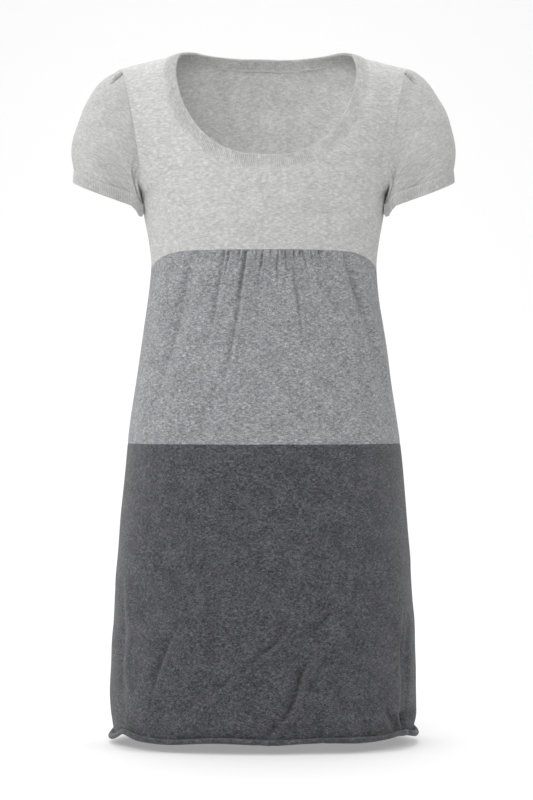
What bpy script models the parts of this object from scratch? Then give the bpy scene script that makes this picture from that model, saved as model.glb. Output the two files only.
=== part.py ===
"""Jumper dress: a knitted pull-on dress in three tiers, filled out as it is when worn.

Metres, +Z up. The front faces -Y and the wearer's left is +X. The origin is where the
shoulders carry the dress, midway between the neck ends of its shoulder seams.
Every piece is a wall of cloth. The body panels have their outer side on one smooth form,
are cut along shared seam lines, and are trimmed so that neighbours stand SEAM_GAP apart.
"""

import math
from collections import Counter, namedtuple

import bmesh
import bpy
from mathutils import Vector

PANEL_WALL = 0.0016
RIB_WALL = 0.0022
SEAM_GAP = 0.0003

BUST_Z = -0.180
EMPIRE_FRONT_Z = -0.257
EMPIRE_BACK_Z = -0.262
EMPIRE_SIDE_Z = -0.270
TIER_Z = -0.498
HEM_Z = -0.8635

FRONT = -1
BACK = 1

# ------------------------------------------------------------------------- the form
# Level outlines of the filled dress, from the bust line to the hem. Squareness is the power
# of the rounded outline: 2 is an ellipse, and more is flatter in front and behind.
Level = namedtuple("Level", "height half_width front_depth back_depth squareness")
LEVELS = (
    Level(BUST_Z, 0.1585, 0.122, 0.104, 2.10),
    Level(-0.207, 0.1536, 0.122, 0.103, 2.12),
    Level(-0.238, 0.1472, 0.117, 0.100, 2.15),
    Level(-0.274, 0.1435, 0.110, 0.097, 2.20),
    Level(-0.350, 0.1530, 0.108, 0.100, 2.25),
    Level(TIER_Z, 0.1738, 0.113, 0.111, 2.40),
    Level(-0.620, 0.1852, 0.118, 0.117, 2.50),
    Level(-0.740, 0.1930, 0.121, 0.120, 2.50),
    Level(-0.835, 0.1950, 0.122, 0.121, 2.50),
    Level(-0.870, 0.1905, 0.120, 0.119, 2.50),
)
BUST = LEVELS[0]

# Above the bust line the form arches over to the shoulder line. The rise of a point is its
# height above the bust line along the arch, and roundness is the power of the arch.
ARCH_RISE = 0.25
ARCH_ROUNDNESS = {FRONT: 1.9, BACK: 2.5}
SHOULDER_HALF_WIDTH = 0.205
SHOULDER_CENTRE_Z = 0.020
SHOULDER_FALL = 0.3045
SHOULDER_BEND = 1.2


def power(value, exponent):
    """A power that keeps the sign of its value."""
    return math.copysign(abs(value) ** exponent, value)


def mix(a, b, share):
    return tuple(p + (q - p) * share for p, q in zip(a, b))


def level_at(height):
    """The outline at a height, on a smooth curve through every row of LEVELS."""
    inner_rows = range(1, len(LEVELS) - 1)
    index = next((i for i in inner_rows if height > LEVELS[i].height), len(LEVELS) - 1)
    high, low = LEVELS[index - 1], LEVELS[index]
    above, below = LEVELS[max(index - 2, 0)], LEVELS[min(index + 1, len(LEVELS) - 1)]
    span = low.height - high.height
    share = (height - high.height) / span
    found = [height]
    for column in range(1, len(high)):
        slope_high = span * (low[column] - above[column]) / (low.height - above.height)
        slope_low = span * (below[column] - high[column]) / (below.height - high.height)
        rise = low[column] - high[column]
        bend = slope_high * (1 - share) - slope_low * share + rise * (2 * share - 1)
        found.append(high[column] + rise * share + share * (1 - share) * bend)
    return Level(*found)


def shoulder_z(across):
    """Height of the shoulder line at a distance from the centre line."""
    return SHOULDER_CENTRE_Z - SHOULDER_FALL * abs(across) ** SHOULDER_BEND


def half_width_above_bust(share):
    """Half width of the form where its height is this share of the way to the shoulder."""
    return BUST.half_width + (SHOULDER_HALF_WIDTH - BUST.half_width) * share


def form(angle, rise, side):
    """A point of the form. Angle is 0 on the centre line and 90 degrees at the side seam."""
    turn = math.radians(angle)
    level = BUST if rise > 0 else level_at(BUST_Z + rise)
    across = power(math.sin(turn), 2 / level.squareness)
    depth = level.front_depth if side == FRONT else level.back_depth
    depth *= side * power(math.cos(turn), 2 / level.squareness)
    if rise <= 0:
        return Vector((level.half_width * across, depth, level.height))
    climb = math.radians(90 * rise / ARCH_RISE)
    share = power(math.sin(climb), 2 / ARCH_ROUNDNESS[side])
    depth *= power(math.cos(climb), 2 / ARCH_ROUNDNESS[side])
    top = shoulder_z(SHOULDER_HALF_WIDTH * across)
    return Vector((half_width_above_bust(share) * across, depth, BUST_Z + (top - BUST_Z) * share))


def form_normal(angle, rise, side):
    """The unit vector out of the form."""
    small_turn = 0.05
    small_rise = 0.0001
    across = form(angle + small_turn, rise, side) - form(angle - small_turn, rise, side)
    up = form(angle, rise + small_rise, side) - form(angle, rise - small_rise, side)
    return (across.cross(up) * -side).normalized()


def locate(x, z, side):
    """The angle and rise of the point above the bust line that has this x and z."""
    top = shoulder_z(x)
    for _ in range(6):
        share = min((z - BUST_Z) / (top - BUST_Z), 1.0)
        across = min(abs(x) / half_width_above_bust(share), 1.0)
        top = shoulder_z(SHOULDER_HALF_WIDTH * across)
    climb = math.asin(share ** (ARCH_ROUNDNESS[side] / 2))
    angle = math.asin(across ** (BUST.squareness / 2))
    return math.copysign(math.degrees(angle), x), math.degrees(climb) / 90 * ARCH_RISE


# -------------------------------------------------------------------- the seam lines
# A line is a function of a share from 0 to 1, and gives an angle and a rise on the form.
NECK_HALF_WIDTH = 0.1150
NECK_DROP = 0.159
NECK_SQUARENESS = 1.06
NECK_PINCH = 0.007
NECK_PINCH_DROP = 0.030
NECK_BACK_SWEEP = 28.5
NECK_BACK_SWEEP_PER_METRE = 474.0
NECK_BACK_FLATNESS = 2.2
NECK_BACK_FLATNESS_PER_METRE = -75.0
NECKBAND_WIDTH = 0.016
ARMHOLE_TOP_ANGLE = 61.5
ARMHOLE_SQUARENESS = 4.0


def neck_line(side, reach):
    """Half the neckline, from the shoulder to the centre, at a reach out from its edge."""

    def across(turn):
        drop = NECK_DROP * power(math.cos(turn), 1 / NECK_SQUARENESS)
        pinch = NECK_PINCH * max(1 - drop / NECK_PINCH_DROP, 0) ** 2
        return (NECK_HALF_WIDTH + reach) * power(math.sin(turn), 1 / NECK_SQUARENESS) - pinch

    def front(share):
        turn = math.radians(90 * (1 - share))
        x = across(turn)
        drop = (NECK_DROP + reach) * power(math.cos(turn), 1 / NECK_SQUARENESS)
        return locate(x, shoulder_z(x) - drop, FRONT)

    def back(share):
        turn = math.radians(90 * (1 - share))
        x = across(turn)
        sweep = NECK_BACK_SWEEP + NECK_BACK_SWEEP_PER_METRE * reach
        flatness = NECK_BACK_FLATNESS + NECK_BACK_FLATNESS_PER_METRE * reach
        climb = 90 - sweep * math.cos(turn) ** flatness
        share_up = math.sin(math.radians(climb)) ** (2 / ARCH_ROUNDNESS[BACK])
        lean = math.asin((x / half_width_above_bust(share_up)) ** (BUST.squareness / 2))
        return math.degrees(lean), climb / 90 * ARCH_RISE

    return front if side == FRONT else back


def armhole_line(share):
    """The armhole from the shoulder to the armpit, the same in front and behind."""
    turn = math.radians(90 * (1 - share))
    bend = 2 / ARMHOLE_SQUARENESS
    angle = 90 - (90 - ARMHOLE_TOP_ANGLE) * power(math.sin(turn), bend)
    return angle, ARCH_RISE * (1 - power(math.cos(turn), bend))


def empire_line(side):
    """Half the seam under the bust, from the side seam to the centre."""
    centre = EMPIRE_FRONT_Z if side == FRONT else EMPIRE_BACK_Z

    def line(share):
        angle = 90 * (1 - share)
        sag = (EMPIRE_SIDE_Z - centre) * math.sin(math.radians(angle)) ** 6
        return angle, centre + sag - BUST_Z

    return line


def spaced(line, steps, side):
    """Points of a line, evenly spaced along the cloth: steps + 1 of them."""
    samples = 240
    places = [line(i / samples) for i in range(samples + 1)]
    gone = [0.0]
    for before, after in zip(places, places[1:]):
        gone.append(gone[-1] + (form(*after, side) - form(*before, side)).length)
    found = []
    for step in range(steps + 1):
        target = gone[-1] * step / steps
        i = next((i for i in range(samples) if gone[i + 1] >= target), samples - 1)
        found.append(mix(places[i], places[i + 1], (target - gone[i]) / (gone[i + 1] - gone[i])))
    return found


def both_halves(half):
    """A line from the wearer's left to the right, from its left half ending at the centre."""
    return half + [(-angle, rise) for angle, rise in reversed(half[:-1])]


# ------------------------------------------------------------------------- the folds
# Soft troughs of the gathered and draped cloth, each along a straight line on the front
# from its head to its foot, with its greatest depth and its half width.
Fold = namedtuple("Fold", "head_x head_z foot_x foot_z depth half_width")
MIDRIFF_FOLDS = (
    Fold(-0.091, -0.262, -0.120, -0.400, 0.0030, 0.0110),
    Fold(-0.049, -0.250, -0.060, -0.335, 0.0018, 0.0050),
    Fold(-0.037, -0.250, -0.042, -0.300, 0.0018, 0.0040),
    Fold(-0.022, -0.250, -0.034, -0.365, 0.0034, 0.0050),
    Fold(-0.034, -0.340, -0.080, -0.475, 0.0026, 0.0110),
    Fold(-0.002, -0.250, -0.004, -0.315, 0.0020, 0.0045),
    Fold(0.018, -0.250, 0.018, -0.300, 0.0018, 0.0040),
    Fold(0.030, -0.250, 0.033, -0.295, 0.0022, 0.0040),
    Fold(0.041, -0.250, 0.052, -0.372, 0.0030, 0.0050),
    Fold(0.056, -0.250, 0.060, -0.295, 0.0016, 0.0040),
    Fold(0.104, -0.262, 0.156, -0.425, 0.0040, 0.0100),
)
SKIRT_FOLDS = (
    Fold(-0.041, -0.560, -0.140, -0.822, 0.0040, 0.0150),
    Fold(0.054, -0.670, -0.080, -0.806, 0.0050, 0.0170),
    Fold(0.091, -0.705, 0.036, -0.812, 0.0060, 0.0150),
    Fold(0.038, -0.800, 0.000, -0.868, 0.0060, 0.0110),
)
FOLD_LEAD_IN = 0.15


def trough(x, z, folds):
    """How far the folds press the cloth in at a point of the front."""
    depth = 0.0
    for fold in folds:
        run_x = fold.foot_x - fold.head_x
        run_z = fold.foot_z - fold.head_z
        length = math.hypot(run_x, run_z)
        along = ((x - fold.head_x) * run_x + (z - fold.head_z) * run_z) / length**2
        beside = ((x - fold.head_x) * run_z - (z - fold.head_z) * run_x) / length
        if -FOLD_LEAD_IN < along < 1:
            fade = min(1, 1 + along / FOLD_LEAD_IN) * (1 - max(along, 0) ** 2)
            depth += fold.depth * fade * math.exp(-((beside / fold.half_width) ** 2))
    return depth


# --------------------------------------------------------------- making cloth into walls
def on_form(place, side, wall, folds=(), lift=0.0):
    """The outer and inner point of the cloth at an angle and a rise."""
    outer = form(*place, side)
    normal = form_normal(*place, side)
    outer = outer + normal * (lift - trough(outer.x, outer.z, folds))
    return outer, outer - normal * wall


def ring_normals(rings, hand):
    """The outward normals of a tube given as closed rings from its top to its end."""
    normals = []
    for j, ring in enumerate(rings):
        above = rings[max(j - 1, 0)]
        below = rings[min(j + 1, len(rings) - 1)]
        arounds = [after - before for before, after in zip(ring[-1:] + ring[:-1], ring[1:] + ring[:1])]
        downs = [low - high for high, low in zip(above, below)]
        normals.append([(a.cross(d) * hand).normalized() for a, d in zip(arounds, downs)])
    return normals


def thicken(rings, normals, wall):
    """The outer and inner points of a tube of cloth, row by row."""
    return [[(p, p - n * wall) for p, n in zip(*row)] for row in zip(rings, normals)]


def make_cloth(name, rows, colour, closed=False):
    """Makes one wall from rows of outer and inner points. Closed rows join end to end.
    Every open edge is drawn back in the cloth by half a seam gap."""
    width = len(rows[0])
    columns = width if closed else width - 1
    points = [point for row in rows for point in row]
    quads = []
    for start in range(0, (len(rows) - 1) * width, width):
        for i in range(columns):
            after = (i + 1) % width
            quads.append((start + i, start + after, start + width + after, start + width + i))
    uses = Counter(frozenset(edge) for quad in quads for edge in zip(quad, quad[1:] + quad[:1]))
    open_edges = []
    ways_out = {}
    for quad in quads:
        middle = sum((points[i][0] for i in quad), Vector()) / 4
        for a, b in zip(quad, quad[1:] + quad[:1]):
            if uses[frozenset((a, b))] > 1:
                continue
            open_edges.append((a, b))
            run = (points[b][0] - points[a][0]).normalized()
            way_out = (points[a][0] + points[b][0]) / 2 - middle
            way_out = (way_out - run * way_out.dot(run)).normalized()
            ways_out.setdefault(a, []).append(way_out)
            ways_out.setdefault(b, []).append(way_out)

    for i, (first, second) in ways_out.items():
        back = (first + second) / (1 + first.dot(second)) * SEAM_GAP / 2
        points[i] = (points[i][0] - back, points[i][1] - back)

    mesh = bmesh.new()
    outer = [mesh.verts.new(point[0]) for point in points]
    inner = [mesh.verts.new(point[1]) for point in points]
    for quad in quads:
        mesh.faces.new([outer[i] for i in quad])
        mesh.faces.new([inner[i] for i in reversed(quad)])
    for a, b in open_edges:
        mesh.faces.new((outer[b], outer[a], inner[a], inner[b]))
    bmesh.ops.recalc_face_normals(mesh, faces=mesh.faces)
    data = bpy.data.meshes.new(name)
    mesh.to_mesh(data)
    mesh.free()
    data.shade_smooth()
    data.set_sharp_from_angle(angle=math.radians(50))
    data.materials.append(knit(name, colour))
    bpy.context.scene.collection.objects.link(bpy.data.objects.new(name, data))


def knit(name, colour):
    """A matt knitted fabric of one colour."""
    material = bpy.data.materials.new(name)
    material.use_nodes = True
    shader = material.node_tree.nodes["Principled BSDF"]
    shader.inputs["Base Color"].default_value = (*colour, 1)
    shader.inputs["Roughness"].default_value = 0.9
    shader.inputs["Metallic"].default_value = 0.0
    material.diffuse_color = (*colour, 1)
    return material


LIGHT_GREY = (0.56, 0.56, 0.55)
MID_GREY = (0.29, 0.29, 0.31)
DARK_GREY = (0.088, 0.087, 0.096)

# ---------------------------------------------------------------------- bodice, neckband
ARMHOLE_STEPS = 12
SIDE_STEPS = 2
EMPIRE_STEPS = 12
NECK_STEPS = ARMHOLE_STEPS + SIDE_STEPS + EMPIRE_STEPS
BODICE_ROWS = 5
NECKBAND_STAND = 0.002
UNDERARM_BEND_ANGLE = 20.0
UNDERARM_BEND_DROP = 0.12
LOWER_BEND_START = 50.0
LOWER_BEND_FADE = 0.25


def bodice_ray(neck, edge, share):
    """A place on the way from the neck seam to the edge. Rays to the armpit bend down to
    pass under the armhole, and those to the seams below it do so less and less."""
    angle, rise = mix(neck, edge, share)
    start = ARMHOLE_TOP_ANGLE if edge[1] >= 0 else LOWER_BEND_START
    bend = max(abs(edge[0]) - start, 0) / (90 - start)
    bend *= (1 + min(edge[1], 0) / LOWER_BEND_FADE) * 2 * share * (1 - share)
    return angle - math.copysign(UNDERARM_BEND_ANGLE * bend, edge[0]), rise - UNDERARM_BEND_DROP * bend


def make_bodice(name, side):
    """Rays of cloth fan out from the neck seam to the armholes, sides and empire seam."""
    armhole = spaced(armhole_line, ARMHOLE_STEPS, side)
    empire = spaced(empire_line(side), EMPIRE_STEPS, side)
    side_seam = [mix(armhole[-1], empire[0], i / SIDE_STEPS) for i in range(1, SIDE_STEPS)]
    edge = both_halves(armhole + side_seam + empire)
    neck = both_halves(spaced(neck_line(side, NECKBAND_WIDTH), NECK_STEPS, side))
    rows = []
    for j in range(BODICE_ROWS + 1):
        places = [bodice_ray(a, b, j / BODICE_ROWS) for a, b in zip(neck, edge)]
        rows.append([on_form(place, side, PANEL_WALL) for place in places])
    make_cloth(name, rows, LIGHT_GREY)


def make_neckband():
    """One ribbed ring round the neck, sewn to the bodices at every point of their edges.
    Its free edge stands up a little where it crosses the shoulders."""
    rows = []
    for reach, stand in ((0.0, NECKBAND_STAND), (NECKBAND_WIDTH, 0.0)):
        ring = []
        for side, direction in ((FRONT, 1), (BACK, -1)):
            places = both_halves(spaced(neck_line(side, reach), NECK_STEPS, side))
            for place in places[::direction][:-1]:
                lift = stand * (place[1] / ARCH_RISE) ** 8
                ring.append(on_form(place, side, RIB_WALL, lift=lift))
        rows.append(ring)
    make_cloth("neckband", rows, LIGHT_GREY, closed=True)


# ---------------------------------------------------------------------- sleeves, cuffs
# The cuff hangs upright with its lower edge slanting down to the armpit. Its rings are
# square-ish ovals, bent on the inside to follow the side of the bodice.
CUFF_OUTER_X = 0.2435
CUFF_OUTER_Z = -0.1630
CUFF_INNER_X = 0.1650
CUFF_SLANT = math.radians(20)
CUFF_HALF_DEPTH = 0.0555
CUFF_CENTRE_Y = 0.001
CUFF_SQUARENESS = 2.3
CUFF_BACK_LIFT = math.radians(6.5)
CUFF_ARMPIT_DROP = 0.010
CUFF_BODY_BEND = 0.052
CUFF_HEIGHT = 0.0145
CUFF_LEAN = 0.07
CUFF_ROWS = 2
SLEEVE_ROWS = 6

# How far a strand of the sleeve runs straight on from the armhole, and up from the cuff
# seam: sideways, to the front or back, and up. The underarm is short and has little puff.
LEAVE_TOP = Vector((0.0380, 0.010, -0.006))
LEAVE_UNDERARM = Vector((0.0040, 0.010, -0.001))
ARRIVE_TOP = Vector((0.0125, 0.010, 0.044))
ARRIVE_UNDERARM = Vector((0.0010, 0.010, 0.002))


def cuff_ring(up, hand):
    """The cuff's ring at a height above its lower edge, from its outer side by the front."""
    count = 2 * ARMHOLE_STEPS
    middle_x = (CUFF_OUTER_X + CUFF_INNER_X) / 2
    half_width = (CUFF_OUTER_X - CUFF_INNER_X) / 2
    ring = []
    for i in range(count):
        turn = 2 * math.pi * i / count
        outward = power(math.cos(turn), 2 / CUFF_SQUARENESS)
        forward = power(math.sin(turn), 2 / CUFF_SQUARENESS)
        inward = max(-outward, 0)
        x = middle_x + half_width * outward - CUFF_BODY_BEND * (inward * forward) ** 2
        y = CUFF_CENTRE_Y - CUFF_HALF_DEPTH * forward
        z = CUFF_OUTER_Z - (CUFF_OUTER_X - x) * math.tan(CUFF_SLANT) + y * math.tan(CUFF_BACK_LIFT)
        z -= CUFF_ARMPIT_DROP * inward**4
        ring.append(Vector((hand * (x - up * CUFF_LEAN), y, z + up)))
    return ring


def puff(top, underarm, turn, hand):
    """The straight run of the strand at this turn round the armhole."""
    run = underarm.lerp(top, (1 + math.cos(turn)) / 2)
    return Vector((hand * run.x, -run.y * math.sin(turn), run.z))


def make_sleeve_and_cuff(hand_name, hand):
    """Each strand of the sleeve is a puffed curve from the armhole down to the cuff seam."""
    front = [form(*place, FRONT) for place in spaced(armhole_line, ARMHOLE_STEPS, FRONT)]
    back = [form(*place, BACK) for place in spaced(armhole_line, ARMHOLE_STEPS, BACK)]
    armhole = [Vector((hand * p.x, p.y, p.z)) for p in front + back[-2:0:-1]]
    cuff_rings = [cuff_ring(CUFF_HEIGHT * (1 - j / CUFF_ROWS), hand) for j in range(CUFF_ROWS + 1)]
    rings = []
    for j in range(SLEEVE_ROWS):
        down = j / SLEEVE_ROWS
        ring = []
        for i, (start, end) in enumerate(zip(armhole, cuff_rings[0])):
            turn = 2 * math.pi * i / len(armhole)
            ring.append(
                start * (1 - down) ** 3
                + (start + puff(LEAVE_TOP, LEAVE_UNDERARM, turn, hand)) * 3 * down * (1 - down) ** 2
                + (end + puff(ARRIVE_TOP, ARRIVE_UNDERARM, turn, hand)) * 3 * down**2 * (1 - down)
                + end * down**3
            )
        rings.append(ring)
    rings += cuff_rings
    normals = ring_normals(rings, hand)
    sleeve = thicken(rings[: SLEEVE_ROWS + 1], normals[: SLEEVE_ROWS + 1], PANEL_WALL)
    cuff = thicken(rings[SLEEVE_ROWS:], normals[SLEEVE_ROWS:], RIB_WALL)
    make_cloth("sleeve_" + hand_name, sleeve, LIGHT_GREY, closed=True)
    make_cloth("cuff_" + hand_name, cuff, LIGHT_GREY, closed=True)


# ------------------------------------------------------------------------- the tiers
GATHER_ANGLE = 26
GATHER_STEPS = 24
PLAIN_STEPS = 10
MIDRIFF_BACK_STEPS = 22
MIDRIFF_ROWS = {FRONT: 6, BACK: 5}
MIDRIFF_ROW_BUNCHING = 1.2
SKIRT_STEPS = {FRONT: 28, BACK: 20}
SKIRT_ROWS = {FRONT: 8, BACK: 6}
HEM_ROLL_ROWS = 6
HEM_ROLL_TURN = math.radians(285)
HEM_ROLL_INNER_RADIUS = 0.0024


def stretch(start, end, steps):
    return [start + (end - start) * i / steps for i in range(steps)]


def make_midriff(name, side):
    """The middle tier. Its front has close columns where it is gathered under the bust,
    and its rows are closer near the top, where the gathers are deep."""
    if side == FRONT:
        plain = stretch(-90, -GATHER_ANGLE, PLAIN_STEPS)
        angles = plain + stretch(-GATHER_ANGLE, GATHER_ANGLE, GATHER_STEPS)
        angles += [GATHER_ANGLE] + [-angle for angle in reversed(plain)]
    else:
        angles = stretch(-90, 90, MIDRIFF_BACK_STEPS) + [90]
    empire = empire_line(side)
    tops = [empire(1 - abs(angle) / 90)[1] for angle in angles]
    rows = []
    for j in range(MIDRIFF_ROWS[side] + 1):
        down = (j / MIDRIFF_ROWS[side]) ** MIDRIFF_ROW_BUNCHING
        rises = [top + (TIER_Z - BUST_Z - top) * down for top in tops]
        folds = MIDRIFF_FOLDS if side == FRONT else ()
        rows.append([on_form(place, side, PANEL_WALL, folds) for place in zip(angles, rises)])
    make_cloth(name, rows, MID_GREY)


# The front hem hangs unevenly: it dips where the skirt is fullest.
HemDip = namedtuple("HemDip", "x drop half_width")
HEM_DIPS = (HemDip(-0.118, 0.0032, 0.040), HemDip(0.004, 0.0015, 0.022))


def make_skirt(name, side):
    """The bottom tier. Its raw edge curls outwards and up into a small roll."""
    angles = stretch(-90, 90, SKIRT_STEPS[side]) + [90]
    folds = SKIRT_FOLDS if side == FRONT else ()
    columns = []
    for angle in angles:
        x = form(angle, HEM_Z - BUST_Z, side).x
        hem = HEM_Z
        if side == FRONT:
            hem -= sum(dip.drop * math.exp(-(((x - dip.x) / dip.half_width) ** 2)) for dip in HEM_DIPS)
        heights = [TIER_Z + (hem - TIER_Z) * j / SKIRT_ROWS[side] for j in range(SKIRT_ROWS[side] + 1)]
        column = [on_form((angle, z - BUST_Z), side, PANEL_WALL, folds) for z in heights]
        outer, inner = column[-1]
        out = (outer - inner).normalized()
        centre = outer + out * HEM_ROLL_INNER_RADIUS
        for j in range(1, HEM_ROLL_ROWS + 1):
            turn = HEM_ROLL_TURN * j / HEM_ROLL_ROWS
            spoke = -out * math.cos(turn) - Vector((0, 0, 1)) * math.sin(turn)
            column.append(
                (
                    centre + spoke * HEM_ROLL_INNER_RADIUS,
                    centre + spoke * (HEM_ROLL_INNER_RADIUS + PANEL_WALL),
                )
            )
        columns.append(column)
    make_cloth(name, list(zip(*columns)), DARK_GREY)


for existing in list(bpy.data.objects):
    bpy.data.objects.remove(existing, do_unlink=True)

make_bodice("bodice_front", FRONT)
make_bodice("bodice_back", BACK)
make_neckband()
make_sleeve_and_cuff("left", 1)
make_sleeve_and_cuff("right", -1)
for side_name, side in (("front", FRONT), ("back", BACK)):
    make_midriff("midriff_" + side_name, side)
    make_skirt("skirt_" + side_name, side)
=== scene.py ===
"""Looks of a knitted jumper dress: three tiers of melange jersey with a rolled hem, ribbed
neckband and cuffs, and puffed sleeves, filled out as it is when worn and open inside."""

import math

import bpy
import numpy as np
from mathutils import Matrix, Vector


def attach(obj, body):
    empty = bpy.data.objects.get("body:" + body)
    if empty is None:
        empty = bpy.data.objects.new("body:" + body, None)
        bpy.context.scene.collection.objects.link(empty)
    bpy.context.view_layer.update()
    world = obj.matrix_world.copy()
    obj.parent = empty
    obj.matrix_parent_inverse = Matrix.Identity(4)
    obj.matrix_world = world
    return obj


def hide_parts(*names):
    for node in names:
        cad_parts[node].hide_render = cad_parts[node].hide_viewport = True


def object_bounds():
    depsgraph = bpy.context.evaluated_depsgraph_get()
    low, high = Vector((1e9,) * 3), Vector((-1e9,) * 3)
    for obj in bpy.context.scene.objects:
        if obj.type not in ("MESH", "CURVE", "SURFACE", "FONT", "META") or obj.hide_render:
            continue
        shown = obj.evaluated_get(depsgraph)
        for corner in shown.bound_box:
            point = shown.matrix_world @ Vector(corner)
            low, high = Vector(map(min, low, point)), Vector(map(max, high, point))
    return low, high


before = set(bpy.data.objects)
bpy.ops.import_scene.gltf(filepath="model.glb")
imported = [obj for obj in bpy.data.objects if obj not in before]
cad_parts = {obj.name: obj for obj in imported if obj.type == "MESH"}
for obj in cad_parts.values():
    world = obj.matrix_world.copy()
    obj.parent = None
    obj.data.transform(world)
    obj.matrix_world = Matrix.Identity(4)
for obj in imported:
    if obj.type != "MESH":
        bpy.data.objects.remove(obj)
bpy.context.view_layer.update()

# ------------------------------------------------------------------ the front and back bodice
# Two panels of fine-gauge jersey knitted from light grey melange yarn, linked together at the
# shoulders and sides. They lie on one filled-out form, which the tiers below them share.
FRONT = -1
BACK = 1
BUST_Z = -0.180
EMPIRE_Z = {FRONT: -0.257, BACK: -0.262}
EMPIRE_SIDE_Z = -0.2765
TIER_Z = -0.498

# Level outlines of the form: height, half width, front depth, back depth and squareness,
# the power of the rounded outline, which is 2 for an ellipse.
OUTLINES = np.array(
    [
        (-0.870, 0.1905, 0.120, 0.119, 2.50),
        (-0.835, 0.1950, 0.122, 0.121, 2.50),
        (-0.740, 0.1930, 0.121, 0.120, 2.50),
        (-0.620, 0.1852, 0.118, 0.117, 2.50),
        (TIER_Z, 0.1738, 0.113, 0.111, 2.40),
        (-0.350, 0.1530, 0.108, 0.100, 2.25),
        (-0.274, 0.1435, 0.110, 0.097, 2.20),
        (-0.238, 0.1472, 0.117, 0.100, 2.15),
        (-0.207, 0.1536, 0.122, 0.103, 2.12),
        (BUST_Z, 0.1585, 0.122, 0.104, 2.10),
    ]
)
BUST_HALF_WIDTH = OUTLINES[-1, 1]
BUST_SQUARENESS = OUTLINES[-1, 4]

# Above the bust the form arches over to the shoulder line. A rise is a height above the bust
# line measured along the arch, and an angle is 0 at the centre and 90 at the side seam.
ARCH_RISE = 0.25
ARCH_ROUNDNESS = {FRONT: 1.9, BACK: 2.5}
SHOULDER_HALF_WIDTH = 0.205
SHOULDER_TOP_Z = 0.020
SHOULDER_FALL = 0.3045
SHOULDER_SOFTNESS = 0.012


def power(values, exponent):
    """A power that keeps the sign of the values."""
    return np.sign(values) * np.abs(values) ** exponent


def bump(distance, width):
    """1 at no distance, falling softly to about a third at this width and away beyond it."""
    return np.exp(-((distance / width) ** 2))


def eased(distance, width):
    """Rises smoothly from 0 at a distance of 0 to 1 at this width."""
    share = np.clip(distance / width, 0, 1)
    return share**2 * (3 - 2 * share)


def crowded(share, crowding):
    """Shares drawn together towards 0."""
    return share * (1 - crowding) + crowding * share**3


def outline(height):
    """The form's half width, front depth, back depth and squareness at each height."""
    heights = OUTLINES[:, 0]
    last = len(OUTLINES) - 1
    above = np.minimum(np.arange(last + 1) + 1, last)
    below = np.maximum(np.arange(last + 1) - 1, 0)
    slopes = (OUTLINES[above] - OUTLINES[below]) / (heights[above] - heights[below])[:, None]
    low = np.clip(np.searchsorted(heights, height) - 1, 0, last - 1)
    span = (heights[low + 1] - heights[low])[..., None]
    share = (height - heights[low])[..., None] / span
    rise = OUTLINES[low + 1] - OUTLINES[low]
    bend = span * (slopes[low] * (1 - share) - slopes[low + 1] * share) + rise * (2 * share - 1)
    found = OUTLINES[low] + rise * share + share * (1 - share) * bend
    return found[..., 1], found[..., 2], found[..., 3], found[..., 4]


def shoulder_z(across):
    """Height of the shoulder line, which is rounded at the centre and slopes down beyond."""
    return SHOULDER_TOP_Z - SHOULDER_FALL * (across**2 + SHOULDER_SOFTNESS**2) ** 0.6


def form(angle, rise, side):
    """Points of the form at these angles and rises."""
    turn = np.radians(angle)
    climb = np.radians(90 * np.maximum(rise, 0) / ARCH_RISE)
    up = power(np.sin(climb), 2 / ARCH_ROUNDNESS[side])
    in_depth = power(np.cos(climb), 2 / ARCH_ROUNDNESS[side])
    height = BUST_Z + np.minimum(rise, 0)
    half_width, front, back, squareness = outline(height)
    across = power(np.sin(turn), 2 / squareness)
    depth = side * power(np.cos(turn), 2 / squareness) * (front if side == FRONT else back)
    x = (half_width + (SHOULDER_HALF_WIDTH - half_width) * up) * across
    z = height + (shoulder_z(SHOULDER_HALF_WIDTH * across) - BUST_Z) * up
    return np.stack([x, depth * in_depth, z], -1)


def outward(angle, rise, side):
    """Unit vectors out of the form, from small steps round it and up it."""
    turn, climb = 0.05, 0.0001
    across = form(angle + turn, rise, side) - form(angle - turn, rise, side)
    up = form(angle, rise + climb, side) - form(angle, rise - climb, side)
    out = np.cross(across, up) * -side
    return out / np.linalg.norm(out, axis=-1, keepdims=True)


def run_along(points, axis=0):
    """How far each point of a line, or of each line of a net, is along it."""
    steps = np.linalg.norm(np.diff(points, axis=axis), axis=-1)
    return np.cumsum(np.insert(steps, 0, 0, axis=axis), axis=axis)


def spaced(line, shares, side):
    """Angles and rises of a line at these shares of its length."""
    angle, rise = line(np.linspace(0, 1, 1200))
    gone = run_along(form(angle, rise, side))
    places = shares * gone[-1]
    return np.stack([np.interp(places, gone, angle), np.interp(places, gone, rise)])


def both_halves(half):
    """A line from the wearer's left to the right, from its left half ending at the centre."""
    return np.concatenate([half, half[:, -2::-1] * [[-1], [1]]], axis=1)


# The rises at which the cloth is measured, from just below the hem to the shoulders.
QUARTER_RISES = np.linspace(-0.70, ARCH_RISE, 96)


def across_cloth(angle, rise, side):
    """How far the cloth reaches round from its centre line, in metres."""
    turns = np.linspace(0, 90, 181)
    gone = run_along(form(turns[:, None], QUARTER_RISES[None, :], side))
    middle = len(QUARTER_RISES) // 2
    share = np.interp(np.abs(angle), turns, gone[:, middle] / gone[-1, middle])
    return np.sign(angle) * share * np.interp(rise, QUARTER_RISES, gone[-1])


def up_cloth(rise, side):
    """How high the cloth reaches, measured up it half way between the front and the side."""
    middle = form(np.full_like(QUARTER_RISES, 45.0), QUARTER_RISES, side)
    return np.interp(rise, QUARTER_RISES, run_along(middle))


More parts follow.
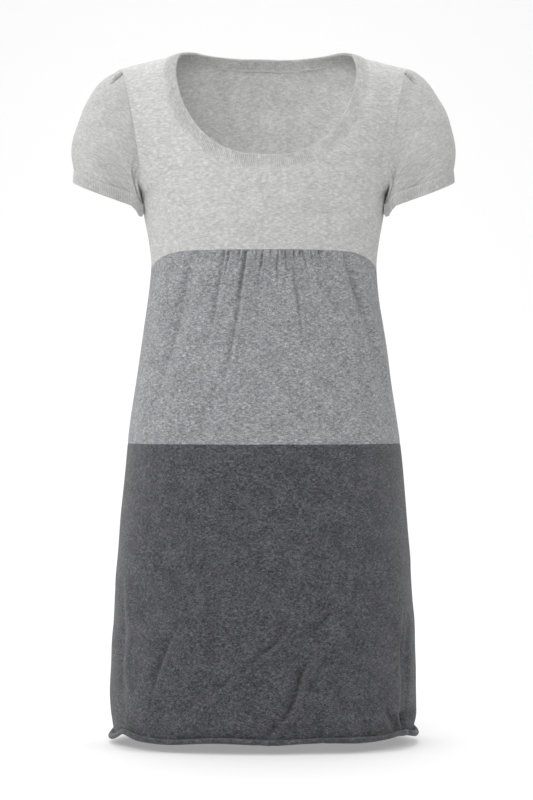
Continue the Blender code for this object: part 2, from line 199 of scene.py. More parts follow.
def locate(x, z):
    """Angles and rises of the front's points above the bust line with this x and z."""
    top = shoulder_z(x)
    # The height of the shoulder line above a point settles in a few rounds.
    for _ in range(6):
        up = np.minimum((z - BUST_Z) / (top - BUST_Z), 1.0)
        half_width = BUST_HALF_WIDTH + (SHOULDER_HALF_WIDTH - BUST_HALF_WIDTH) * up
        across = np.minimum(np.abs(x) / half_width, 1.0)
        top = shoulder_z(SHOULDER_HALF_WIDTH * across)
    climb = np.arcsin(up ** (ARCH_ROUNDNESS[FRONT] / 2))
    angle = np.arcsin(across ** (BUST_SQUARENESS / 2))
    return np.degrees(angle), np.degrees(climb) / 90 * ARCH_RISE


# The neckline: a scoop in front, and a shallow dip behind. It hangs a little to the wearer's
# left. Reach is the distance out from its free edge, and the neckband fills the reach from 0
# to its width. Within a short drop of the shoulder line the scoop is pinched in.
NECK_HALF_WIDTH = 0.1170
NECK_DROP = 0.1595
NECK_OFFSET = 0.0033
NECKBAND_WIDTH = 0.016
NECK_PINCH = 0.007
NECK_PINCH_DROP = 0.030
# Behind, the dip is in degrees down the arch, and its power makes its ends slope in softly.
# Both change with the reach, by so much for each metre.
BACK_NECK_DIP = 27.5
BACK_NECK_DIP_GAIN = 540
BACK_NECK_POWER = 2.2
BACK_NECK_POWER_LOSS = 28
BACK_NECK_CORNER = 0.62


def neck_line(side, reach):
    """From the wearer's left shoulder to the right."""

    def line(share):
        turn = math.pi * (0.5 - share)
        level = np.cos(turn)
        pinched = np.maximum(1 - NECK_DROP * level / NECK_PINCH_DROP, 0) ** 2
        across = (NECK_HALF_WIDTH + reach) * np.sin(turn)
        x = NECK_OFFSET + across - NECK_PINCH * pinched * np.sign(turn)
        if side == FRONT:
            angle, rise = locate(x, shoulder_z(x) - (NECK_DROP + reach) * level)
            return angle * np.sign(x), rise
        dip = level ** (BACK_NECK_POWER - BACK_NECK_POWER_LOSS * reach)
        dip *= 1 - np.exp(-((level / BACK_NECK_CORNER) ** 6))
        climb = 90 - (BACK_NECK_DIP + BACK_NECK_DIP_GAIN * reach) * dip
        up = np.sin(np.radians(climb)) ** (2 / ARCH_ROUNDNESS[BACK])
        half_width = BUST_HALF_WIDTH + (SHOULDER_HALF_WIDTH - BUST_HALF_WIDTH) * up
        angle = np.arcsin((np.abs(x) / half_width) ** (BUST_SQUARENESS / 2))
        return np.degrees(angle) * np.sign(x), climb / 90 * ARCH_RISE

    return line


# The armhole reaches this many degrees from the side seam. Near its foot it narrows by this
# share, within this share of its length.
ARMHOLE_ANGLE = 28.5
ARMHOLE_NARROWING = 0.55
ARMHOLE_NARROWING_SHARE = 0.22


def armhole_line(share):
    """From the shoulder to the armpit."""
    turn = np.radians(90 * (1 - share))
    width = ARMHOLE_ANGLE * (1 - ARMHOLE_NARROWING * bump(1 - share, ARMHOLE_NARROWING_SHARE))
    return 90 - width * power(np.sin(turn), 0.5), ARCH_RISE * (1 - power(np.cos(turn), 0.5))


EMPIRE_SAG_POWER = 9


def empire_line(side):
    """The seam under the bust, from the side seam to the centre. It comes down at the sides."""

    def line(share):
        angle = 90 * (1 - share)
        sag = (EMPIRE_SIDE_Z - EMPIRE_Z[side]) * np.sin(np.radians(angle)) ** EMPIRE_SAG_POWER
        return angle, EMPIRE_Z[side] + sag - BUST_Z

    return line


def rounded(route):
    """A line through a few points with its corners cut soft."""
    points = np.array(route, float)
    for _ in range(3):
        first, second = points[:-1], points[1:]
        cut = np.stack([first * 0.75 + second * 0.25, first * 0.25 + second * 0.75], 1)
        points = np.concatenate([points[:1], cut.reshape(-1, points.shape[1]), points[-1:]])
    return points


# A crease deepens over this first share of its length and then runs out to its foot. Its ridge
# is this many half widths away from it.
CREASE_DEEPENING = 0.3
RIDGE_DISTANCE = 1.7


def creased(across, up, creases):
    """How far creases press the cloth in. A crease is its route over the cloth, its depth and
    half width, how full it already is at its head, and the height of the ridge on its left,
    looking from head to foot, as a share of the depth."""
    pressed = np.zeros_like(across)
    for route, depth, half_width, head, ridge in creases:
        points = rounded(route)
        gone = run_along(points)
        nearest = np.full_like(across, 1e9)
        beside = np.zeros_like(across)
        along = np.zeros_like(across)
        for start, end, before in zip(points[:-1], points[1:], gone):
            run = end - start
            length = np.linalg.norm(run)
            away_x, away_z = across - start[0], up - start[1]
            share = np.clip((away_x * run[0] + away_z * run[1]) / length**2, 0, 1)
            distance = np.hypot(away_x - share * run[0], away_z - share * run[1])
            closer = distance < nearest
            nearest = np.where(closer, distance, nearest)
            beside = np.where(closer, away_x * run[1] - away_z * run[0], beside)
            along = np.where(closer, (before + share * length) / gone[-1], along)
        signed = nearest * np.sign(beside) / half_width
        fullness = head + (1 - head) * eased(along, CREASE_DEEPENING)
        fade = fullness * (1 - along**1.7) ** 1.3
        profile = np.exp(-np.abs(signed) ** 1.5) - ridge * bump(signed + RIDGE_DISTANCE, 1)
        pressed += depth * fade * profile
    return pressed


def uneven(points, size):
    """Soft random unevenness of about this size across. It depends only on the place, so
    pieces that are sewn to each other still meet."""
    rng = np.random.default_rng(7)
    swell = np.zeros(points.shape[:-1])
    for _ in range(9):
        way = rng.normal(size=3)
        way /= np.linalg.norm(way) * size * rng.uniform(0.7, 1.6) / (2 * math.pi)
        swell += np.sin(points @ way + rng.uniform(0, 2 * math.pi))
    return swell / 3


WAVER = 0.0005
WAVER_SIZE = 0.09


def waver(points):
    """The slight unevenness that all the cloth has."""
    return WAVER * uneven(points, WAVER_SIZE)


def from_edges(net, edges):
    """Distance of each point of a net from the nearest of the named edges of the net."""
    nearest = np.full(net.shape[:2], 1e9)
    for edge in edges:
        axis = 0 if edge in ("top", "bottom") else 1
        far_end = edge in ("bottom", "right")
        far = run_along(np.flip(net, axis) if far_end else net, axis)
        nearest = np.minimum(nearest, np.flip(far, axis) if far_end else far)
    return nearest


def shade_as_cloth(mesh):
    """Smooth over the cloth's faces, and crisp where its wall turns a corner."""
    mesh.shade_smooth()
    mesh.set_sharp_from_angle(angle=math.radians(75))


def put_in_scene(name, data):
    """A new object that holds this mesh, light or camera."""
    thing = bpy.data.objects.new(name, data)
    bpy.context.scene.collection.objects.link(thing)
    return thing


def cloth_wall(name, outer, inner, grain, materials, joined=False):
    """A closed wall of cloth between a net of outer points and one of inner points. Grain is
    each place's distance across and along the knit. A joined wall closes round on itself."""
    rows, columns = outer.shape[:2]
    net = np.concatenate([outer, inner[::-1]])
    grain = np.concatenate([grain, grain[::-1]])
    row, column = np.indices((2 * rows, columns if joined else columns - 1))
    corners = [(row, column), (row, column + 1), (row + 1, column + 1), (row + 1, column)]
    quads = np.stack([(r % (2 * rows)) * columns + c % columns for r, c in corners], -1)
    places = np.stack([grain[r % (2 * rows), c] for r, c in corners], -2)
    quads, places = quads.reshape(-1, 4), places.reshape(-1, 4, 2)
    faces_in = ((row >= rows) & (row < 2 * rows - 1)).reshape(-1)
    if not joined:
        front = np.arange(rows - 1)
        back = 2 * rows - 1 - front
        left = (front, front + 1, back - 1, back)
        right = (front + 1, front, back, back - 1)
        for column, rim in ((0, left), (columns - 1, right)):
            quads = np.concatenate([quads, np.stack([r * columns + column for r in rim], -1)])
            places = np.concatenate([places, np.stack([grain[r, column] for r in rim], -2)])
            faces_in = np.concatenate([faces_in, np.zeros(rows - 1, bool)])
    points = net.reshape(-1, 3)
    first = points[quads[: columns - 1]]
    out = np.cross(first[:, 1] - first[:, 0], first[:, 3] - first[:, 0])
    if (out * (outer[0, : columns - 1] - inner[0, : columns - 1])).sum() < 0:
        quads, places = quads[:, ::-1], places[:, ::-1]
    mesh = bpy.data.meshes.new(name)
    mesh.from_pydata(points.tolist(), [], quads.tolist())
    mesh.uv_layers.new(name="Grain").data.foreach_set("uv", places.reshape(-1))
    for material in materials:
        mesh.materials.append(material)
    if len(materials) > 1:
        mesh.polygons.foreach_set("material_index", faces_in.astype(np.int32))
    shade_as_cloth(mesh)
    return put_in_scene(name, mesh)


def fill_in(tree, node, given):
    """Fills a node's inputs, in order or by name. Each is given as a value, as a socket, or as
    a node, which stands for its first output."""
    if isinstance(given, dict):
        pairs = [(node.inputs[name], value) for name, value in given.items()]
    else:
        pairs = zip([socket for socket in node.inputs if socket.enabled], given)
    for socket, value in pairs:
        source = value.outputs[0] if isinstance(value, bpy.types.Node) else value
        if isinstance(source, bpy.types.NodeSocket):
            tree.links.new(source, socket)
        else:
            socket.default_value = value


def add_node(tree, kind, given=(), **settings):
    """A node with these settings and inputs."""
    node = tree.nodes.new(kind)
    for key, value in settings.items():
        setattr(node, key, value)
    fill_in(tree, node, given)
    return node


def calculate(tree, operation, *inputs):
    """A node that does one sum."""
    return add_node(tree, "ShaderNodeMath", inputs, operation=operation)


def new_tree(name, kind, inputs, outputs):
    """A node group with these named inputs and outputs, the sockets that its inputs come from,
    and the node that puts its outputs out. An input is given as its kind, or as its usual size."""
    tree = bpy.data.node_groups.new(name, kind)
    for in_out, sockets in (("INPUT", inputs), ("OUTPUT", outputs)):
        for socket_name, given in sockets.items():
            sized = not isinstance(given, str)
            socket_type = "NodeSocketFloat" if sized else "NodeSocket" + given
            socket = tree.interface.new_socket(socket_name, in_out=in_out, socket_type=socket_type)
            if sized:
                socket.default_value = given
    return tree, tree.nodes.new("NodeGroupInput").outputs, tree.nodes.new("NodeGroupOutput")


def new_material(name, looks):
    """A material with these inputs of its shader filled in, and the shader."""
    material = bpy.data.materials.new(name)
    material.use_nodes = True
    shader = material.node_tree.nodes["Principled BSDF"]
    fill_in(material.node_tree, shader, looks)
    return material, shader


# A leg of a stitch slants up by this share of a course, and each course takes its streaks from
# a strip of noise this far from that of the course below it.
LEG_SLANT = 0.8
STREAK_SHIFT = 7.31


def melange_knit_group():
    """Jersey seen up close: columns of V stitches, and the streaky shades of a melange yarn,
    which change slowly along each course and suddenly from one course to the next."""
    sizes = {"Wale width": 0.0018, "Course height": 0.0012, "Streak length": 0.0060}
    amounts = {"Streaks": 0.5, "Curls": 0.5, "Patches": 0.5}
    inputs = {"Grain": "Vector", **sizes, **amounts}
    outputs = {"Shade": "Float", "Relief": "Float"}
    tree, given, put_out = new_tree("Melange knit", "ShaderNodeTree", inputs, outputs)
    place = add_node(tree, "ShaderNodeSeparateXYZ", [given["Grain"]]).outputs
    # Each wale is two slanted legs of yarn, mirrored about its middle.
    wale = calculate(tree, "DIVIDE", place[0], given["Wale width"])
    leg = calculate(tree, "MULTIPLY", calculate(tree, "PINGPONG", wale, 0.5), 2.0)
    course = calculate(tree, "DIVIDE", place[1], given["Course height"])
    slanted = calculate(tree, "MULTIPLY_ADD", leg, LEG_SLANT, course)
    over_leg, along_leg = (
        calculate(tree, "SINE", calculate(tree, "MULTIPLY", share, math.pi))
        for share in (calculate(tree, "FRACT", slanted), leg)
    )
    relief = calculate(tree, "POWER", calculate(tree, "MULTIPLY", over_leg, along_leg), 0.5)
    # Streaks follow the yarn along its course. Curls and patches come from the carding.
    streak_x = calculate(tree, "DIVIDE", place[0], given["Streak length"])
    streak_y = calculate(tree, "MULTIPLY", calculate(tree, "FLOOR", slanted), STREAK_SHIFT)
    streak_at = add_node(tree, "ShaderNodeCombineXYZ", [streak_x, streak_y])
    curl_at = add_node(tree, "ShaderNodeMapping", {"Vector": given["Grain"], "Scale": (1.0, 1.7, 1.0)})
    noises = {
        "Streaks": {"Vector": streak_at, "Scale": 1.0, "Detail": 2.0, "Roughness": 0.6},
        "Curls": {"Vector": curl_at, "Scale": 260.0, "Detail": 3.0, "Roughness": 0.6, "Distortion": 1.4},
        "Patches": {"Vector": given["Grain"], "Scale": 42.0, "Detail": 4.0, "Roughness": 0.55},
    }
    shade = 0.5
    for amount, looks in noises.items():
        noise = add_node(tree, "ShaderNodeTexNoise", looks, noise_dimensions="2D")
        centred = calculate(tree, "SUBTRACT", noise, 0.5)
        shade = calculate(tree, "MULTIPLY_ADD", centred, given[amount], shade)
    fill_in(tree, put_out, {"Shade": shade, "Relief": relief})
    return tree


MELANGE_KNIT = melange_knit_group()
KNIT_RELIEF = 0.0004
# The power of light whose steps look even to the eye.
EVEN_STEPS = 0.45


def melange_knit(name, dark_yarn, light_yarn, relief=KNIT_RELIEF, **sizes):
    """A matt knitted cloth, its yarn spun from dark and light fibres, whose mixed shades step
    evenly to the eye."""
    looks = {"Roughness": 0.92, "Specular IOR Level": 0.25, "Sheen Weight": 0.18, "Sheen Roughness": 0.6}
    material, shader = new_material(name, looks)
    tree = material.node_tree
    given = {size.replace("_", " ").capitalize(): value for size, value in sizes.items()}
    given["Grain"] = add_node(tree, "ShaderNodeUVMap")
    knit = add_node(tree, "ShaderNodeGroup", given, node_tree=MELANGE_KNIT).outputs
    yarn = add_node(tree, "ShaderNodeValToRGB", [knit["Shade"]])
    shades = yarn.color_ramp.elements
    shades[0].color = (*dark_yarn, 1)
    shades[1].color = (*light_yarn, 1)
    even = [(d**EVEN_STEPS + l**EVEN_STEPS) / 2 for d, l in zip(dark_yarn, light_yarn)]
    shades.new(0.5).color = (*(shade ** (1 / EVEN_STEPS) for shade in even), 1)
    raised = {"Strength": 0.5, "Distance": relief, "Height": knit["Relief"]}
    fill_in(tree, shader, {"Base Color": yarn, "Normal": add_node(tree, "ShaderNodeBump", raised)})
    return material


LIGHT_YARN = ((0.220, 0.220, 0.215), (0.710, 0.710, 0.696))
LIGHT_KNIT = melange_knit(
    "Light grey melange", *LIGHT_YARN,
    streaks=0.86, curls=0.30, patches=0.14, streak_length=0.0068, course_height=0.0013,
)
# On its reverse, jersey shows the backs of its stitches, which look twice as wide.
REVERSE_STITCH = {"wale_width": 0.0036, "course_height": 0.0014}
# The reverse's yarn is painted lighter than the face's yarn: painted light on the inside of the dress,
# which lies in shade.
LIGHT_REVERSE_PAINTED_LIGHT = melange_knit(
    "Light grey melange reverse", (0.38, 0.38, 0.375), (0.95, 0.95, 0.94),
    streaks=0.92, curls=0.45, patches=0.36, streak_length=0.0066, **REVERSE_STITCH,
)

JERSEY_WALL = 0.0013
ARMHOLE_COLUMNS = 72
SIDE_SEAM_COLUMNS = 12
BODICE_ROWS = 46
# The most that a ray from the neck is turned, in degrees, and dropped on its way to the edge.
# Below the armhole, rays bend if they end beyond this angle, and the less the lower they end.
RAY_TURN = 20
RAY_DROP = 0.12
RAY_SIDE_ANGLE = 50.0
RAY_SIDE_DEPTH = 0.25


def bodice_ray(neck, edge, share):
    """Places on the way from the neck seam to the panel's edge. Rays to the armpit bend down
    to pass under the armhole, and those to the seams below it do so less and less."""
    angle, rise = neck + (edge - neck) * share
    start = np.where(edge[1] >= 0, 90 - ARMHOLE_ANGLE, RAY_SIDE_ANGLE)
    bend = np.maximum(np.abs(edge[0]) - start, 0) / (90 - start)
    bend = bend * (1 + np.minimum(edge[1], 0) / RAY_SIDE_DEPTH) * 2 * share * (1 - share)
    return angle - np.sign(edge[0]) * RAY_TURN * bend, rise - RAY_DROP * bend


# Along the armhole the cloth swells, with the sleeve's side of the seam facing inwards a
# little. Near its foot the armhole is also drawn outwards, and to front or back, over a longer
# reach.
SLEEVE_FACING = -0.2
ARMHOLE_SWELL = 0.0044
ARMHOLE_SWELL_REACH = 0.022
ARMHOLE_FOOT_SHARE = 0.85
ARMHOLE_FOOT_SPREAD = 0.11
ARMHOLE_FOOT_OUT = 0.002
ARMHOLE_FOOT_AWAY = 0.011
ARMHOLE_FOOT_REACH = 0.030


def between_panel_and_sleeve(shares, side):
    """Unit vectors out of the left armhole's seam, at shares of its way from the shoulder."""
    panel = outward(*spaced(armhole_line, shares, side), side)
    turn = math.pi * shares
    sleeve = np.stack([np.full_like(turn, SLEEVE_FACING), side * np.sin(turn), np.cos(turn)], -1)
    way = panel + sleeve
    return way / np.linalg.norm(way, axis=-1, keepdims=True)


def near_armhole_foot(shares):
    """1 near the armhole's foot, and 0 far from it and at the armpit itself."""
    return bump(shares - ARMHOLE_FOOT_SHARE, ARMHOLE_FOOT_SPREAD) * (1 - shares**12)


def armhole_swell(shares, side):
    """How far the left armhole is drawn out, at shares of its way from the shoulder to the
    armpit, which rounds the valley that panel and sleeve would make where they meet."""
    turn = math.pi * shares
    size = ARMHOLE_SWELL * np.sin(turn) * np.sqrt(1 + np.cos(turn))
    swell = between_panel_and_sleeve(shares, side) * size[:, None]
    foot = np.array([ARMHOLE_FOOT_OUT, side * ARMHOLE_FOOT_AWAY, 0])
    return swell + foot * near_armhole_foot(shares)[:, None]


# Creases of the panels: a route of (x, z), depth, half width, fullness at the head, ridge.
BODICE_CREASES = {
    FRONT: (
        (((-0.151, -0.11), (-0.15, -0.15), (-0.149, -0.176), (-0.147, -0.205)), 0.0016, 0.005, 0.0, 0.3),
        (((-0.157, -0.168), (-0.152, -0.185), (-0.144, -0.214)), 0.0012, 0.0034, 0.2, 0.0),
        (((-0.15, -0.19), (-0.132, -0.206), (-0.112, -0.218)), 0.0014, 0.006, 0.4, 0.3),
        (((0.15, -0.112), (0.151, -0.148), (0.15, -0.178), (0.147, -0.206)), 0.002, 0.005, 0.0, -0.3),
        (((0.156, -0.172), (0.149, -0.188), (0.143, -0.212)), 0.0014, 0.0034, 0.2, 0.0),
        (((0.15, -0.186), (0.134, -0.2), (0.108, -0.208)), 0.0014, 0.0065, 0.4, -0.3),
        (((-0.112, -0.19), (-0.088, -0.204), (-0.055, -0.212), (-0.02, -0.212)), 0.004, 0.015, 0.2, 0.0),
        (((0.036, -0.214), (0.075, -0.216), (0.108, -0.214), (0.13, -0.2)), 0.0044, 0.015, 0.0, 0.0),
    ),
    BACK: (
        (((-0.15, -0.112), (-0.149, -0.15), (-0.147, -0.2)), 0.0036, 0.005, 0.0, -0.4),
        (((0.15, -0.11), (0.15, -0.152), (0.147, -0.204)), 0.0038, 0.0048, 0.0, 0.4),
        (((-0.145, -0.188), (-0.112, -0.205), (-0.08, -0.21)), 0.0018, 0.007, 0.3, 0.0),
        (((0.146, -0.192), (0.115, -0.212), (0.086, -0.22)), 0.0018, 0.0065, 0.3, 0.0),
        (((-0.012, -0.12), (-0.004, -0.175), (0.002, -0.235)), 0.0016, 0.014, 0.0, 0.0),
    ),
}

# Beside the cuff, under the armpit, the cloth stands a little fuller.
BESIDE_CUFF_FULLNESS = 0.0082
BESIDE_CUFF_ANGLE = 77
BESIDE_CUFF_SPREAD = 7
BESIDE_CUFF_Z = -0.198
BESIDE_CUFF_HEIGHT = 0.022
BESIDE_CUFF_MARGIN = 0.006
# Creases fade out within this distance of a seam.
CREASE_MARGIN = 0.007


def make_bodice(name, node, side):
    shares = np.linspace(0, 1, ARMHOLE_COLUMNS + 1)
    armhole = spaced(armhole_line, shares, side)
    empire = spaced(empire_line(side), shares, side)
    side_share = np.arange(1, SIDE_SEAM_COLUMNS) / SIDE_SEAM_COLUMNS
    side_seam = armhole[:, -1:] + (empire[:, :1] - armhole[:, -1:]) * side_share
    edge = both_halves(np.concatenate([armhole, side_seam, empire], axis=1))
    neck = spaced(neck_line(side, NECKBAND_WIDTH), np.linspace(0, 1, edge.shape[1]), side)
    rows = np.linspace(0, 1, BODICE_ROWS + 1)
    angle, rise = np.stack([bodice_ray(neck, edge, row) for row in rows], axis=1)
    net = form(angle, rise, side)
    out = outward(angle, rise, side)
    seam = from_edges(net, ("top", "bottom", "left", "right"))
    pressed = creased(net[..., 0], net[..., 2], BODICE_CREASES[side])
    lift = waver(net) - pressed * eased(seam, CREASE_MARGIN)
    outer = net + out * lift[..., None]
    # The net's first and last columns end along the two armholes.
    count = len(shares)
    swell = np.zeros_like(net[0])
    swell[:count] = armhole_swell(shares, side)
    swell[-count:] = swell[:count][::-1] * [-1, 1, 1]
    reach = np.full(len(swell), ARMHOLE_SWELL_REACH)
    reach[:count] += ARMHOLE_FOOT_REACH * near_armhole_foot(shares)
    reach[-count:] = reach[:count][::-1]
    near = 1 - np.minimum(from_edges(net, ("bottom",)) / reach, 1)
    outer += swell * near[..., None] ** 2
    beside_cuff = bump(np.abs(angle) - BESIDE_CUFF_ANGLE, BESIDE_CUFF_SPREAD)
    beside_cuff *= bump(net[..., 2] - BESIDE_CUFF_Z, BESIDE_CUFF_HEIGHT)
    beside_cuff *= eased(seam, BESIDE_CUFF_MARGIN)
    outer[..., 1] += side * BESIDE_CUFF_FULLNESS * beside_cuff
    grain = np.stack([across_cloth(angle, rise, side), up_cloth(rise, side)], -1)
    # Its inner faces take the reverse, whose yarn is painted lighter as painted light.
    piece = cloth_wall(name, outer, outer - out * JERSEY_WALL, grain, (LIGHT_KNIT, LIGHT_REVERSE_PAINTED_LIGHT))
    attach(piece, "root")
    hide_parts(node)


make_bodice("front_bodice", "bodice_front", FRONT)
make_bodice("back_bodice", "bodice_back", BACK)

# ------------------------------------------------------------------------------- the neckband
# One ring of one-by-one rib, knitted from the same yarn and linked all round the neckline.
# Its free edge is turned, which makes it a little thicker there.
RIB_WALL = 0.0022
RIB_WALE = 0.0024
RIB_HEIGHT = 0.0006
RIB_ROUNDNESS = 0.7
RIB_START = 0.004
RIM_ROWS = 2
EDGE_TURNS = 6
NECKBAND_ROWS = 8
NECKBAND_STAND = 0.002
NECKBAND_COLUMNS = 960
NECK_POINT_ROUNDING = 0.010


def rib_tree():
    """Raises every other wale of a band, counted by the distance along it, and sinks those
    between them, as far as the band's fullness says."""
    inputs = {"Band": "Geometry", "Wale pitch": "Float", "Wale height": "Float", "Finish": "Material"}
    tree, given, put_out = new_tree("Rib wales", "GeometryNodeTree", inputs, {"Rib": "Geometry"})
    along = add_node(tree, "GeometryNodeInputNamedAttribute", ["along"], data_type="FLOAT")
    wales = calculate(tree, "DIVIDE", along, given["Wale pitch"])
    wave = calculate(tree, "SINE", calculate(tree, "MULTIPLY", wales, 2 * math.pi))
    steep = calculate(tree, "POWER", calculate(tree, "ABSOLUTE", wave), RIB_ROUNDNESS)
    full = calculate(tree, "MULTIPLY", calculate(tree, "SIGN", wave), steep)
    fullness = add_node(tree, "GeometryNodeInputNamedAttribute", ["fullness"], data_type="FLOAT")
    height = calculate(tree, "MULTIPLY", given["Wale height"], fullness)
    raised = calculate(tree, "MULTIPLY", full, height)
    normal = add_node(tree, "GeometryNodeInputNormal")
    offset = add_node(tree, "ShaderNodeVectorMath", {"Vector": normal, "Scale": raised}, operation="SCALE")
    moved = add_node(tree, "GeometryNodeSetPosition", {"Geometry": given["Band"], "Offset": offset})
    real = add_node(tree, "GeometryNodeRealizeInstances", [moved])
    # Only the outer faces take the finish. The inner faces keep the reverse, whose yarn is painted lighter
    # as painted light.
    outside = calculate(tree, "LESS_THAN", add_node(tree, "GeometryNodeInputMaterialIndex"), 0.5)
    finish = {"Geometry": real, "Selection": outside, "Material": given["Finish"]}
    fill_in(tree, put_out, {"Rib": add_node(tree, "GeometryNodeSetMaterial", finish)})
    return tree


def made_by(tree, start, name, **inputs):
    """The plain mesh that a tree makes from a starting piece, which is then thrown away."""
    modifier = start.modifiers.new("tree", "NODES")
    modifier.node_group = tree
    for socket in tree.interface.items_tree:
        key = socket.name.replace(" ", "_").lower()
        if socket.in_out == "INPUT" and key in inputs:
            modifier[socket.identifier] = inputs[key]
    evaluated = start.evaluated_get(bpy.context.evaluated_depsgraph_get())
    mesh = bpy.data.meshes.new_from_object(evaluated)
    bpy.data.objects.remove(start, do_unlink=True)
    mesh.name = name
    shade_as_cloth(mesh)
    return put_in_scene(name, mesh)


def turned_edge(edge, before, normal):
    """Rows that carry the rib round its free edge, from its outer face to its inner one."""
    ahead = edge - before
    ahead -= normal * (ahead * normal).sum(-1, keepdims=True)
    ahead /= np.linalg.norm(ahead, axis=-1, keepdims=True)
    half_wall = RIB_WALL / 2
    rows = []
    for turn in np.linspace(0, math.pi, EDGE_TURNS + 1):
        spoke = normal * math.cos(turn) + ahead * math.sin(turn)
        rows.append(edge - normal * half_wall + spoke * half_wall)
    return rows


def rib_band(name, faces, backs, normals, counted, heights):
    """A closed ring of rib with its free edge turned, and a reverse whose yarn is painted lighter as
    painted light. Its outer faces, and the backs behind them, run from the seam to the free edge, between
    these heights. Its wales are counted along one of its rings."""
    edge = turned_edge(faces[-1], faces[-2], normals[-1])
    middle = len(edge) // 2
    outer = np.concatenate([faces[:-1], edge[: middle + 1]])
    inner = np.concatenate([backs[:-1], edge[: middle - 1 : -1]])
    around = np.tile(run_along(np.concatenate([counted, counted[:1]])), (len(outer), 1))
    up = np.tile(np.linspace(*heights, len(outer))[:, None], (1, around.shape[1]))
    grain = np.stack([around, up], -1)
    band = cloth_wall(name + "_plain", outer, inner, grain, (LIGHT_RIB, LIGHT_REVERSE_PAINTED_LIGHT), joined=True)
    row = np.repeat(np.arange(2 * len(outer)), outer.shape[1])
    turned_in = (row >= len(outer) + RIM_ROWS) & (row < 2 * len(outer) - 1)
    band.data.polygons.foreach_set("material_index", turned_in.astype(np.int32))
    fullness = eased(from_edges(outer, ("top",)), RIB_START)
    for attribute, values in (("along", around[:, :-1]), ("fullness", fullness)):
        both_faces = np.concatenate([values, values[::-1]]).astype(np.float32)
        stored = band.data.attributes.new(attribute, "FLOAT", "POINT")
        stored.data.foreach_set("value", both_faces.reshape(-1))
    pitch = around[0, -1] / round(around[0, -1] / RIB_WALE)
    return made_by(RIB_TREE, band, name, wale_pitch=pitch, wale_height=RIB_HEIGHT, finish=LIGHT_RIB)


RIB_TREE = rib_tree()
LIGHT_RIB = melange_knit(
    "Light grey rib", *LIGHT_YARN, relief=0.0003,
    streaks=0.50, curls=0.65, patches=0.34, wale_width=0.0012,
)


def softened(ring, count):
    """A closed line with its corners rounded over about this count of its points."""
    reach = np.arange(-2 * count, 2 * count + 1)
    weights = bump(reach, count)
    return sum(np.roll(ring, int(k), axis=0) * w for k, w in zip(reach, weights)) / weights.sum()


def make_neckband():
    rows = []
    for reach in np.linspace(NECKBAND_WIDTH, 0, NECKBAND_ROWS):
        free = 1 - reach / NECKBAND_WIDTH
        ring, out = [], []
        for side, direction in ((FRONT, 1), (BACK, -1)):
            shares = np.linspace(0, 1, NECKBAND_COLUMNS + 1)
            angle, rise = spaced(neck_line(side, reach), shares, side)
            points = form(angle, rise, side)
            normals = outward(angle, rise, side)
            # Close to the shoulders the free edge stands away from the form.
            stand = NECKBAND_STAND * free * np.clip(rise / ARCH_RISE, 0, 1) ** 8
            points = points + normals * (stand + waver(points))[:, None]
            ring.append(points[::direction][:-1])
            out.append(normals[::direction][:-1])
        ring, out = np.concatenate(ring), np.concatenate(out)
        count = round(NECK_POINT_ROUNDING / run_along(ring)[1])
        ring += (softened(ring, count) - ring) * free**1.5
        out += (softened(out, count) - out) * free
        rows.append((ring, out / np.linalg.norm(out, axis=-1, keepdims=True)))
    faces = np.array([row[0] for row in rows])
    normals = np.array([row[1] for row in rows])
    wall = np.linspace(JERSEY_WALL, RIB_WALL, NECKBAND_ROWS)[:, None, None]
    heights = (0, NECKBAND_WIDTH)
    piece = rib_band("neckband_rib", faces, faces - normals * wall, normals, faces[-1], heights)
    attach(piece, "root")
    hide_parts("neckband")


make_neckband()

# ----------------------------------------------------------------------- the sleeves and cuffs
# Short puffed sleeves of the same jersey, gathered into a few tucks at the shoulder and drawn
# in by ribbed cuffs, which hang upright and slant down towards the armpit.
# The sleeves' yarn is the bodice's yarn painted darker: painted shade on sleeves that curve away from the
# light.
SLEEVE_KNIT_PAINTED_SHADE = melange_knit(
    "Light grey melange sleeve", (0.198, 0.198, 0.193), (0.645, 0.645, 0.632),
    streaks=0.62, curls=0.74, patches=0.26, streak_length=0.0052,
)
SLEEVE_COLUMNS = 432
SLEEVE_CROWDING = 0.45
SLEEVE_ROWS = 60
# A cuff is a rounded ring that slants down towards the body and tilts a little to the front.
CUFF_OUTER_X = 0.2435
CUFF_INNER_X = 0.1650
CUFF_OUTER_Z = -0.1630
CUFF_MIDDLE_Y = 0.001
CUFF_HALF_DEPTH = 0.0555
CUFF_SQUARENESS = 2.3
CUFF_HEIGHT = 0.0145
CUFF_SLANT = math.tan(math.radians(20))
CUFF_TILT = math.tan(math.radians(6.5))
CUFF_LEAN = 0.07
CUFF_COLUMNS = 840
CUFF_ROWS = 8
# At the armpit it's drawn in, and droops at its two corners and a little between them.
CUFF_DRAWN_IN = 0.066
CUFF_CORNER_DROOP = 0.0092
CUFF_CORNER_X = CUFF_INNER_X + 0.002
CUFF_CORNER_WIDTH = 0.010
CUFF_CORNER_LIMIT = 1.05
CUFF_DROOP = 0.0045
CUFF_DROOP_SHARE = 0.88
CUFF_DROOP_WIDTH = 0.06


